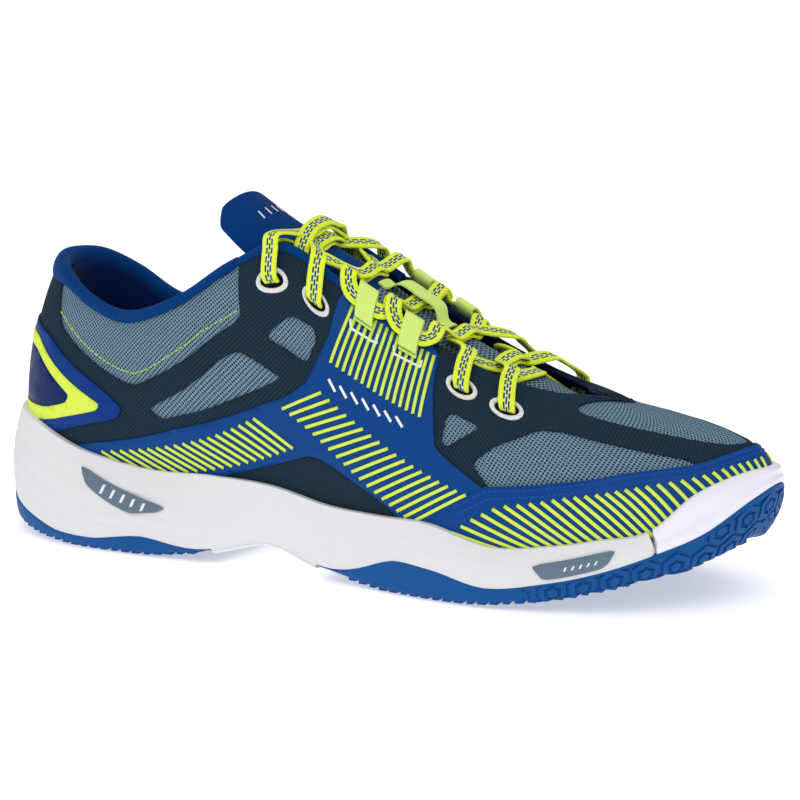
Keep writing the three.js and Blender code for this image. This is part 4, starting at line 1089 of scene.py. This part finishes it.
def on_wall(w, f, out):
    """A place on the foam wall, f of the way from the tread's edge to the rim."""
    spots = []
    for a, b in zip(w, f):
        low, edge, rim = levels(a)
        start, middle = sole_side(a, -0.25, edge)[0], sole_side(a, 0.35, (edge + rim) / 2)[0]
        lip = skin(a, height_fraction(a, rim), CUP + RIM)[0] * [1, 1, 0] + [0, 0, rim]
        pull = 2 * middle - (start + lip) / 2
        away = sole_side(a, 1, 0)[0] - sole_side(a, 0, 0)[0]
        spots.append((1 - b)**2 * start + 2 * b * (1 - b) * pull + b * b * lip + away * out)
    return np.array(spots)


for place, outline in INSERTS.items():
    for side in ("lateral", "medial"):
        shape = rounded(outline if side == "lateral" else mirrored(outline), 2, 0.12)
        plate = lay(pattern(shape, step_w=0.15, step_h=0.1), lambda w, h: on_wall(w, h, 0.05))
        made = piece(f"{place}_insert_{side}", plate, insert_plastic, stands_for=[f"{place}_insert_{side}"],
                     slot="insert_plastic", solid=0.5)
        rim = made.modifiers.new("soft edge", "BEVEL")
        rim.width = 0.0002
        rim.segments = 2
    centre = np.mean(outline, 0)
    slope = -0.3 if place == "heel" else 0.03
    for side in ("lateral", "medial"):
        marks = bmesh.new()
        for k in range(5):
            w = centre[0] + (k - 2) * 0.15
            f = centre[1] + (k - 2) * 0.15 * slope
            corners = [(w - 0.03, f - 0.06), (w + 0.01, f - 0.06), (w + 0.05, f + 0.06), (w + 0.01, f + 0.06)]
            corners = corners if side == "lateral" else mirrored(corners)
            spots = metres(on_wall([c[0] for c in corners], [c[1] for c in corners], 0.6))
            marks.faces.new([marks.verts.new(p) for p in spots])
        piece(f"{place}_insert_bars_{side}", marks, white_ink, slot="white_stitch", solid=0.12)

# %% [markdown]
# ## Rubber outsole
# Two plates of blue rubber carry the tread: one under the heel, and one under the forefoot that
# wraps up over the toe. The tread is a field of hexagons, each with a smaller ring inside it.


# %% Outsole plates
def outsole_chain(w):
    low, edge = levels(w)[0], tread_edge(w)
    roll = toe_roll(w)
    base = low + 0.95
    tall = max(edge - base, 1.2)
    sunk = ease(min(w % ROUND, ROUND - w % ROUND), 10.3, 11.1, 0.7)
    rows = [(-6 - roll, base), (-3 - roll, base), (-1.3 - 0.9 * roll, base + 0.3)]
    rows += [(-0.9 * (1 - f)**2 - 0.85 * roll * (1 - f)**2.2 - (sunk if f < 0.9 else 0),
              base + 0.6 + (tall - 1.1) * f)
             for f in (0, 0.12, 0.25, 0.4, 0.55, 0.7, 0.86, 0.93, 1)]
    rows += [(-0.25, edge - 0.05), (-1, edge), (-2.4, edge), (-2.6 - 0.3 * roll, low + PLATE + 0.6),
             (-4.2 - 0.8 * roll, low + PLATE)]
    return [sole_side(w, out, z)[0] for out, z in rows]


heel_w = np.linspace(0, HEEL_SOLE_END, 41)
fore_w = np.linspace(FORE_SOLE_START, TOE, 73)
piece("heel_tread_plate", sleeve(across(heel_w, outsole_chain)), blue_rubber, stands_for=["outsole_heel"],
      slot="outsole_rubber", sharp=50)
piece("forefoot_tread_plate", sleeve(across(fore_w, outsole_chain)), blue_rubber,
      stands_for=["outsole_forefoot"],
      slot="outsole_rubber", sharp=50)


# %% Hexagon lugs
def hexagon(bm, centre, right, forward, down, size, tall):
    """One lug: a hexagon with a sunk ring round its middle."""
    ring = bmesh.ops.create_circle(bm, cap_ends=True, segments=6, radius=size)["verts"]
    face = ring[0].link_faces[0]
    raised = bmesh.ops.extrude_face_region(bm, geom=[face])
    top = [g for g in raised["geom"] if isinstance(g, bmesh.types.BMFace)][0]
    for v in top.verts:
        v.co.z = tall
    bmesh.ops.inset_region(bm, faces=[top], thickness=size * 0.28)
    inner = bmesh.ops.inset_region(bm, faces=[top], thickness=size * 0.14)
    for v in top.verts:
        v.co.z = tall - 0.7
    made = [g for g in raised["geom"] + inner["faces"] if isinstance(g, bmesh.types.BMFace) and g.is_valid]
    verts = set(ring) | {v for f in made for v in f.verts}
    verts |= {v for v in top.verts}
    verts |= {w for v in list(verts) for e in v.link_edges for w in e.verts}
    verts |= {w for v in list(verts) for e in v.link_edges for w in e.verts}
    for v in verts:
        x, y, z = v.co
        v.co = metres(centre + right * x + forward * y + down * z)


side_u = np.linspace(0, TOE, 161)
edge_lateral, edge_medial = sole_side(side_u, 0, 0), sole_side(ROUND - side_u, 0, 0)
keep_x = SOLE[:, 0]


def under(x):
    return max(float(np.interp(x, keep_x, SOLE[:, 3])), 0)


lugs = {"heel": bmesh.new(), "forefoot": bmesh.new()}
count = 0
pitch = 9.2
for row in range(40):
    x = 4 + row * pitch * 0.866
    for col in range(-7, 8):
        y = (col + 0.5 * (row % 2)) * pitch
        lat = np.interp(x, edge_lateral[:, 0], edge_lateral[:, 1])
        med = np.interp(x, edge_medial[:, 0], edge_medial[:, 1])
        zone = "heel" if x < 97 else "forefoot" if 151 < x < 294 else None
        if zone is None or not (lat + 6.3 < y < med - 6.3) or x > 279:
            continue
        slope = (under(x + 3) - under(x - 3)) / 6
        forward = unit(np.array([[1, 0, slope]]))[0]
        down = unit(np.array([[slope, 0, -1.0]]))[0]
        centre = np.array([x, y, under(x) + 1.4])
        hexagon(lugs[zone], centre, forward, np.array([0, 1.0, 0]), down, 4.6, 1.35)
        count += 1
for zone, bm in lugs.items():
    bmesh.ops.recalc_face_normals(bm, faces=bm.faces)
    piece(f"{zone}_lugs", bm, blue_rubber, slot="outsole_rubber", sharp=25)
print("lugs:", count)

# %% Hexagons on the toe wrap
RADIUS, HEX_STEP, HEX_RISE = 5.3, 10.3, 9.0
round_w = np.linspace(10.6, 21.4, 400)
round_mm = np.concatenate([[0], np.cumsum(np.linalg.norm(np.diff(sole_side(round_w, -2, 0), axis=0),
                                                         axis=1))])


def wrap_point(along_mm, up_mm, d):
    """A point of the tread's wall: along it, up the slope from its foot, and d mm outside it."""
    w = float(np.interp(along_mm, round_mm, round_w))
    low, edge, _ = levels(w)
    roll, tall = toe_roll(w), edge - low - 2.1
    f = min(up_mm / math.hypot(tall, 0.9 + 0.85 * roll), 0.96)
    if f < 0:
        return sole_side(w, -0.9 - 0.85 * roll + up_mm, low + 1.2 - d)[0]
    g = 1 - f
    turn = 1.8 * g + 1.87 * roll * g**1.2
    facing = np.array([tall, -turn]) / math.hypot(tall, turn)
    return sole_side(w, -0.9 * g**2 - 0.85 * roll * g**2.2 + d * facing[0],
                     low + 1.6 + tall * f + d * facing[1])[0]


def laid_hexagon(bm, laid, along_mm, up_mm):
    """A hexagon with a sunk ring, made flat and then laid on the wall. The layer marks what is laid."""
    ring = bmesh.ops.create_circle(bm, cap_ends=True, segments=6, radius=RADIUS)["verts"]
    face = ring[0].link_faces[0]
    bmesh.ops.subdivide_edges(bm, edges=face.edges[:], cuts=2)
    for v in face.verts:
        v.co.z = -1.2
    raised = bmesh.ops.extrude_face_region(bm, geom=[face], use_keep_orig=True)["geom"]
    top = [g for g in raised if isinstance(g, bmesh.types.BMFace)][0]
    for thickness, height in ((0, 0.0), (0.3, 0.15), (1.5, 0.15), (0.2, -0.5), (0.8, -0.5), (0.2, 0.1)):
        if thickness:
            bmesh.ops.inset_region(bm, faces=[top], thickness=thickness)
        for v in top.verts:
            v.co.z = height
    bmesh.ops.poke(bm, faces=[top])
    for v in bm.verts:
        if not v[laid]:
            v.co = metres(wrap_point(along_mm + v.co.x, up_mm + v.co.y, v.co.z))
            v[laid] = 1


wrap_lugs = bmesh.new()
laid = wrap_lugs.verts.layers.int.new("laid")
for row in range(4):
    for along_mm in np.arange(HEX_STEP / 2 * (row % 2), round_mm[-1], HEX_STEP):
        up_mm = 1.4 + row * HEX_RISE
        low, edge, _ = levels(float(np.interp(along_mm, round_mm, round_w)))
        if up_mm < edge - low - 3:
            laid_hexagon(wrap_lugs, laid, along_mm, up_mm)
wrap_lugs.verts.layers.int.remove(laid)
bmesh.ops.recalc_face_normals(wrap_lugs, faces=wrap_lugs.faces)
piece("toe_wrap_lugs", wrap_lugs, blue_rubber, slot="outsole_rubber", sharp=25)

# %% Small blocks along the tread's edge
edge_lugs = bmesh.new()
round_all = np.linspace(0, ROUND, 1600)
step_mm = np.linalg.norm(np.diff(sole_side(round_all, 0, 0), axis=0), axis=1)
all_mm = np.concatenate([[0], np.cumsum(step_mm)])
for k, mm in enumerate(np.arange(0, all_mm[-1], 4.6)):
    w = float(np.interp(mm, all_mm, round_all))
    u = min(w, ROUND - w)
    if HEEL_SOLE_END - 0.3 < u < FORE_SOLE_START + 0.5 or u > 12.6:
        continue
    low = levels(w)[0]
    long = 3.6 if k % 3 else 2.6
    tall = 1.1 if k % 2 else 1.6
    centre = sole_side(w, -3.3, low + 0.15 + tall / 2)[0]
    out = sole_side(w, 1, 0)[0] - sole_side(w, 0, 0)[0]
    right = np.cross([0, 0, 1.0], out)
    made = bmesh.ops.create_cube(edge_lugs, size=1)["verts"]
    for v in made:
        x, y, z = v.co
        side_in = 0.35 if z < 0 and y > 0 else 0
        v.co = metres(centre + right * (x * long * (0.86 if z < 0 else 1) + z * 0.8)
                      + out * (y * 3.2 - side_in) + np.array([0, 0, z * tall]))
piece("edge_lugs", edge_lugs, blue_rubber, slot="outsole_rubber", sharp=25)


# %% Toe bumper
def bumper_section(w):
    low, edge, rim = levels(w)
    foot = edge + 0.1
    taper = min(1, (min(w, ROUND - w) - BUMPER_START) / 0.35 + 0.15)
    on_upper = lambda z, d: skin(w, height_fraction(w, z), d)[0] * [1, 1, 0] + [0, 0, z]
    mid = foot + (rim - foot) * 0.5
    loop = [sole_side(w, -1.2, foot)[0], sole_side(w, -0.1, foot + 0.15)[0],
            sole_side(w, 0.15, foot + (rim - foot) * 0.3)[0],
            sole_side(w, -0.5 * taper, mid)[0], on_upper(foot + (rim - foot) * 0.85, CUP + 2.6),
            on_upper(rim - 0.1, CUP + 1.4), on_upper(rim + 0.1, CUP + 0.2), on_upper(rim - 0.3, CUP - 0.7),
            on_upper(mid, CUP - 0.5), on_upper(foot, CUP - 0.5)]
    return smooth_loop(loop, 3)


bumper_w = np.linspace(BUMPER_START, ROUND - BUMPER_START, 90)
piece("toe_bumper_cap", sleeve([bumper_section(w) for w in bumper_w]), white_rubber,
      stands_for=["toe_bumper"],
      slot="bumper_rubber", sharp=60)

# %% [markdown]
# ## Tongue
# The tongue is a padded strip, arched over the instep. Its lower part is mesh and its free tip is
# fine knit. Both are swept along one crown line, split where the tip bends.

# %% Tongue
crown_points = np.array([[243, 60], [232, 63.8], [211, 71.5], [190, 80], [167, 90.7], [144, 103.5],
                         [122, 114.6],
                         [109, 121], [95, 128.5]], float)


def curve_through(points, count=12):
    """A smooth open curve through points, count steps to each span."""
    p = np.concatenate([[2 * points[0] - points[1]], points, [2 * points[-1] - points[-2]]])
    t = np.arange(count)[:, None] / count
    rows = []
    for k in range(1, len(p) - 2):
        a, b, c, d = p[k - 1], p[k], p[k + 1], p[k + 2]
        rows.append(0.5 * (2 * b + (c - a) * t + (2 * a - 5 * b + 4 * c - d) * t**2
                           + (3 * b - a - 3 * c + d) * t**3))
    return np.concatenate(rows + [points[-1:]])


crown_curve = curve_through(crown_points)[::-1]
crown_slope = np.gradient(crown_curve[:, 1], crown_curve[:, 0])


def tongue_point(x, y, d):
    z = np.interp(x, crown_curve[:, 0], crown_curve[:, 1])
    slope = np.interp(x, crown_curve[:, 0], crown_slope)
    up = np.array([-slope, 0, 1]) / math.hypot(slope, 1)
    arch = 0.018 + ease(x, 92, 118, 0.013) - ease(x, 130, 170, 0.004)
    return np.array([x, 0, z]) + up * (d - arch * y * y) + np.array([0, y, 0])


def half_width(x):
    return 18.6 + ease(x, 135, 170, 4) - ease(x, 175, 240, 12)


def tongue_section(x, thick, wide, puff):
    across_y = np.linspace(-1, 1, 21)
    top = [tongue_point(x, t * wide,
                        puff * (1 - t**4) - puff * 0.3 - (0.45 * thick
                                                          if abs(t) == 1 else 0)) for t in across_y]
    under = [tongue_point(x, t * wide, -thick * (1 - 0.55 * t**8)) for t in across_y[1:-1]]
    return top + under[::-1]


lower = [tongue_section(x, 4.3, half_width(x), 0.2) for x in np.linspace(241, 152, 44)]
tongue_lower_pad = piece("tongue_lower_pad", sleeve(lower), tongue_mesh, stands_for=["tongue_lower"],
                         slot="mesh", sharp=70)
upper_part = []
for x in np.concatenate([np.linspace(151.9, 113, 30), np.linspace(112.4, 94.7, 40)]):
    t = (x - 94.7) / 17
    wide = half_width(x) - 4.6 * max(0, 1 - t / 0.34)**2
    thick = 4.3 + 1.3 * ease(x, 104, 120, -1) + 1.3
    upper_part.append(tongue_section(x, thick * min(1, 0.3 + 3 * t), wide, 0.5))
tongue_upper_pad = piece("tongue_upper_pad", sleeve(upper_part), tongue_knit, body=None,
                         stands_for=["tongue_tip"],
                         slot="collar_knit", sharp=70)
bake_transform(tongue_upper_pad)
label = bmesh.new()
for k in range(5):
    x, y = 105.5, 8 - 4 * k
    corners = [(x + 1.7, y - 0.3), (x + 1.7, y + 0.3), (x - 1.7, y + 1.1), (x - 1.7, y + 0.5)]
    label.faces.new([label.verts.new(metres(tongue_point(a, b, 0.45))) for a, b in corners])
piece("tongue_label_bars", label, white_ink, body="tongue_flap", slot="white_stitch", solid=0.12)

# %% [markdown]
# ## Insole
# The insole is a foam board with a knitted top. It lifts out, so it rides on its own body. It is
# dished: thicker round the heel and under the arch.


# %% Insole
def insole_chain(w):
    foot = surface(w, 0)[0]
    across_z = (foot[2] + surface(ROUND - w, 0)[0, 2]) / 2
    n = normal(w, 0)[0] * [1, 1, 0]
    n = n / np.linalg.norm(n)
    flat = foot * [1, 1, 0]
    rows = [(-5.6, 1.1), (-5.2, 1.6), (-5.1, 3), (-5.25, 4.4), (-6, 5.0), (-9, 4.9), (-14, 4.7)]
    return [flat + n * out + np.array([0, 0, across_z + z]) for out, z in rows]


insole_w = np.linspace(1, 15.5, 60)
insole_pad = piece("insole_pad", sleeve(across(insole_w, insole_chain)), lining_knit, body="sockliner",
                   stands_for=["insole"], slot="lining", sharp=60)

# %% [markdown]
# ## Eyelets and webbing loops
# The eyelets are bound with white satin stitch, so each is a ring of short threads. The loops are
# webbing that comes up from under the saddle, turns round the lace and goes back in.

# %% Eyelet rings
EYELETS = [(6.85, 0.87), (7.65, 0.86), (10.15, 0.83), (10.9, 0.78)]
LOOPS = [(8.5, 0.86), (9.25, 0.86)]


def nearby(w, h, a, b, d):
    """A point a mm towards larger w and b mm towards the topline, d mm outside."""
    per_w = np.linalg.norm(surface(w + 0.02, h) - surface(w - 0.02, h)) / 0.04
    per_h = np.linalg.norm(surface(w, h + 0.02) - surface(w, h - 0.02)) / 0.04
    return skin(w + a / per_w, h + b / per_h, d)[0]


for side in ("lateral", "medial"):
    for k, (u, h) in enumerate(EYELETS):
        w = u if side == "lateral" else ROUND - u
        rings = []
        for angle in np.linspace(0, 2 * math.pi, 72, endpoint=False):
            ridge = 0.22 * (1 if int(round(angle / (2 * math.pi) * 72)) % 2 else -1)
            ring = []
            for turn in np.linspace(0, 2 * math.pi, 10, endpoint=False):
                reach = 0.9 * math.cos(turn)
                ring.append(nearby(w, h, (5.3 + reach) * math.cos(angle), (3.9 + reach) * math.sin(angle),
                                   1.0 + (0.62 + 0.35 * ridge) * math.sin(turn)))
            rings.append(ring)
        piece(f"stitched_eyelet_{side}_{k + 1}", sleeve(rings, closed=True), white_thread,
              stands_for=[f"eyelet_ring_{side}_{k + 1}"], slot="white_stitch", sharp=80)
        shade = bmesh.new()
        bmesh.ops.create_circle(shade, cap_ends=True, segments=32, radius=1)
        for v in shade.verts:
            v.co = metres(nearby(w, h, v.co.x * 4.7, v.co.y * 3.3, 0.82))
        bmesh.ops.recalc_face_normals(shade, faces=shade.faces)
        piece(f"eyelet_shade_{side}_{k + 1}", shade, dark_mesh, slot="dark_film", solid=0.04)

# %% Webbing loops
loop_path = curve_through(np.array([[-10.5, 3.1], [-8.2, 1.75], [-6, 1.75], [1, 1.75], [3, 2.2], [3.8, 3.3],
                                    [3, 4.6],
                                    [0.8, 5.1], [-6, 4.5], [-9.6, 4]], float), 5)
for side in ("lateral", "medial"):
    for k, (u, _) in enumerate(LOOPS):
        w = u if side == "lateral" else ROUND - u
        along = unit(np.gradient(loop_path, axis=0))
        off = np.stack([-along[:, 1], along[:, 0]], 1) * 0.36
        sections = []
        for (e, d), (oe, od) in zip(loop_path, off):
            across_w = np.linspace(-3.5, 3.5, 7) / 24
            face = [collar_point(w + a, e + oe, d + od)[0] for a in across_w]
            back = [collar_point(w + a, e - oe, d - od)[0] for a in across_w[::-1]]
            sections.append(face + back)
        piece(f"loop_webbing_{side}_{k + 1}", sleeve(sections), loop_webbing,
              stands_for=[f"webbing_loop_{side}_{k + 1}"],
              slot="webbing", sharp=50)

# %% [markdown]
# ## The lace
# One flat lace starts in the middle of the bottom bar, and each half crosses from side to side up
# the shoe. It goes up through an eyelet and over the throat, or round a loop and back. Its ends
# go in under the top of the throat. The route is a list of places with a direction for its width.


# %% The lace's route
def throat_direction(w):
    step = 0.1 if w <= TOE else -0.1
    p = surface([w + step, w - step], [1, 1])
    return (p[0] - p[1]) / np.linalg.norm(p[0] - p[1])


def other(w, medial):
    return ROUND - w if medial else w


def through_eyelet(medial, u, h):
    wide = throat_direction(other(u, medial))
    at = lambda a, e, d: collar_point(other(u + a, medial), e, d)[0]
    in_hole = lambda b, d: nearby(other(u, medial), h, 0, b, d)
    spots = [at(-0.08, 2.5, -3.2), at(-0.04, -3, -3.6), in_hole(0.9, -3.7), in_hole(-0.5, -1.6),
             in_hole(-0.5, 1.4),
             in_hole(1.1, 3.6), at(0, -3, 3.9), at(0, 2.5, 3.9)]
    return [(p, wide) for p in spots]


def round_loop(medial, u, over):
    wide = throat_direction(other(u, medial))
    at = lambda a, e, d: collar_point(other(u + a, medial), e, d)[0]
    out = at(0, -3, 3) - at(0, 3, 3)
    out = out / np.linalg.norm(out)
    corner = lambda sign: (wide * sign + out) / np.linalg.norm(wide * sign + out)
    d = 3.7 if over else 1.9
    return [(at(0.36, 5.5, d), wide), (at(0.33, 0.6, d), corner(0.8)), (at(0.21, -2.3, 3.05), out),
            (at(0, -2.6, 3.05), out),
            (at(-0.21, -2.3, 3.05), out), (at(-0.33, 0.6, d), corner(-0.8)), (at(-0.36, 5.5, d), -wide)]


def crossing(medial, u, height):
    middle = (surface(u, 1)[0] + surface(ROUND - u, 1)[0]) / 2
    slope = np.interp(middle[0], crown_curve[:, 0], crown_slope)
    forward = np.array([1, 0, slope]) / math.hypot(1, slope)
    sign = 1 if medial else -1
    return [(tongue_point(middle[0], sign * y, height), forward) for y in (8, 0, -8)]


TAIL = 7.28
STOPS = [(EYELETS[3], False), (EYELETS[2], False), (LOOPS[1], True), (LOOPS[0], True), (EYELETS[1], False),
         (EYELETS[0], False)]


def half_lace(medial, height, over):
    facing, route = 1, []
    for k, ((u, h), is_loop) in enumerate(STOPS):
        leg = round_loop(medial, u, over) if is_loop else through_eyelet(medial, u, h)
        route += [(p, wide * facing) for p, wide in leg]
        if is_loop:
            facing = -facing
        after = STOPS[k + 1][0][0] if k + 1 < len(STOPS) else TAIL
        lift = height if k + 1 < len(STOPS) else height + 4
        route += [(p, wide * facing) for p, wide in crossing(medial, (u + after) / 2, lift)]
        medial = not medial
    wide = throat_direction(other(TAIL, medial))
    route += [(collar_point(other(TAIL, medial), e, d)[0], wide * facing)
              for e, d in ((2.5, -3.3), (-5, -3.6), (-14, -3.6), (-23, -3.7))]
    return route


route = half_lace(True, 1.4, False)[::-1] + [(tongue_point(211, 0, 1.6),
                                              np.array([0.95, 0, -0.3]))] + half_lace(False, 3.4, True)
print("lace places:", len(route))


# %% The lace
def centripetal(points, count=7):
    """A smooth curve that doesn't overshoot where places are unevenly spaced."""
    p = np.concatenate([[2 * points[0] - points[1]], points, [2 * points[-1] - points[-2]]])
    rows = []
    for k in range(1, len(p) - 2):
        a, b, c, d = p[k - 1], p[k], p[k + 1], p[k + 2]
        ta, tb, tc = (max(np.linalg.norm(q - r)**0.5, 1e-4) for q, r in ((b, a), (c, b), (d, c)))
        m1 = ((b - a) / ta - (c - a) / (ta + tb) + (c - b) / tb) * tb
        m2 = ((c - b) / tb - (d - b) / (tb + tc) + (d - c) / tc) * tb
        for t in np.arange(count) / count:
            rows.append((2 * t**3 - 3 * t**2 + 1) * b + (t**3 - 2 * t**2 + t) * m1
                        + (3 * t**2 - 2 * t**3) * c + (t**3 - t**2) * m2)
    return np.array(rows + [points[-1]])


places = np.array([p for p, _ in route])
widths = np.array([w for _, w in route])
middle_line = centripetal(places, 7)
spans = np.linspace(0, len(places) - 1, len(middle_line))
wide = np.stack([np.interp(spans, range(len(places)), widths[:, k]) for k in range(3)], 1)
tangent = unit(np.gradient(middle_line, axis=0))
wide = wide - tangent * np.sum(wide * tangent, axis=1, keepdims=True)
for k in range(1, len(wide)):
    if np.linalg.norm(wide[k]) < 0.3:
        wide[k] = wide[k - 1]
wide = unit(wide)
thick = np.cross(tangent, wide)
profile = [(-2.95, 0), (-2.8, 0.42), (-2.2, 0.62), (-1, 0.55), (0, 0.6), (1, 0.55), (2.2, 0.62), (2.8, 0.42),
           (2.95, 0), (2.8, -0.42), (2.2, -0.62), (1, -0.55), (0, -0.6), (-1, -0.55), (-2.2, -0.62),
           (-2.8, -0.42)]
sections = np.stack([middle_line + wide * a + thick * b for a, b in profile], 1)
lace_skin = sleeve(sections)
lace_uv = lace_skin.loops.layers.uv["cloth"]
across_at = np.concatenate([np.array([a for a, _ in profile[:9]]) + 2.95,
                            (np.array([a for a, _ in profile[9:]]) + 2.95)])
girth_at = np.concatenate([[0], np.cumsum(np.linalg.norm(np.diff(sections[0], axis=0), axis=1))]) / 10
for face in lace_skin.faces:
    for loop in face.loops:
        u, v = loop[lace_uv].uv
        loop[lace_uv].uv = (u, float(np.interp(v, girth_at, across_at)) / 10 if v <= girth_at[-1] else 0)
piece("flat_lace", lace_skin, lace_weave, stands_for=["lace"], slot="lace", sharp=70)
lace_mm = float(np.linalg.norm(np.diff(middle_line, axis=0), axis=1).sum())
print("lace length in mm, without its ends:", round(lace_mm))
for side in ("lateral", "medial"):
    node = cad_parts[f"aglet_{side}"]
    node.data.materials.clear()
    node.data.materials.append(clear_plastic)

# %% Lace keeper on the tongue
keeper = []
for x, d in curve_through(np.array([[150.5, 0.5], [154, 0.7], [157, 4.9], [164, 5.3], [171, 4.9],
                                    [174.5, 0.7], [178, 0.5]]), 5):
    face = [tongue_point(x, y, d + 0.85) for y in np.linspace(-4, 4, 7)]
    keeper.append(face + [tongue_point(x, y, d + 0.1) for y in np.linspace(4, -4, 7)])
piece("keeper_webbing", sleeve(keeper), loop_webbing, stands_for=["lace_keeper"], slot="webbing", sharp=60)

# %% [markdown]
# ## Floor and light
# A pale floor and three large soft lights, with a bright plain surround, show the colours without
# hard shadows.

# %% Floor and light
floor_mesh = bmesh.new()
bmesh.ops.create_grid(floor_mesh, x_segments=1, y_segments=1, size=30)
flat = bpy.data.meshes.new("floor")
floor_mesh.to_mesh(flat)
floor_mesh.free()
floor = bpy.data.objects.new("floor", flat)
bpy.context.collection.objects.link(floor)
floor.location.z = -0.0004
paper = bpy.data.materials.new("studio_paper")
paper.use_nodes = True
paper.node_tree.nodes["Principled BSDF"].inputs["Base Color"].default_value = (0.92, 0.92, 0.92, 1)
paper.node_tree.nodes["Principled BSDF"].inputs["Roughness"].default_value = 0.9
paper.node_tree.nodes["Principled BSDF"].inputs["Emission Color"].default_value = (1, 1, 1, 1)
paper.node_tree.nodes["Principled BSDF"].inputs["Emission Strength"].default_value = 0.48
flat.materials.append(paper)
for name, spot, power, size in (("key", (0.5, -1.1, 1.3), 9, 1.2), ("fill", (-1.3, -0.9, 0.8), 3, 1.4),
                                ("top", (0.1, 0.5, 1.7), 4, 1.6)):
    lamp = bpy.data.lights.new(name, "AREA")
    lamp.energy, lamp.size = power, size
    light = bpy.data.objects.new(name, lamp)
    light.location = spot
    light.rotation_euler = (Vector(spot) - Vector((0, 0, 0.05))).to_track_quat("Z", "Y").to_euler()
    bpy.context.collection.objects.link(light)
world = bpy.data.worlds.new("surround")
world.use_nodes = True
world.node_tree.nodes["Background"].inputs["Color"].default_value = (1, 1, 1, 1)
world.node_tree.nodes["Background"].inputs["Strength"].default_value = 0.55
bpy.context.scene.world = world
bpy.context.scene.view_settings.view_transform = "Standard"
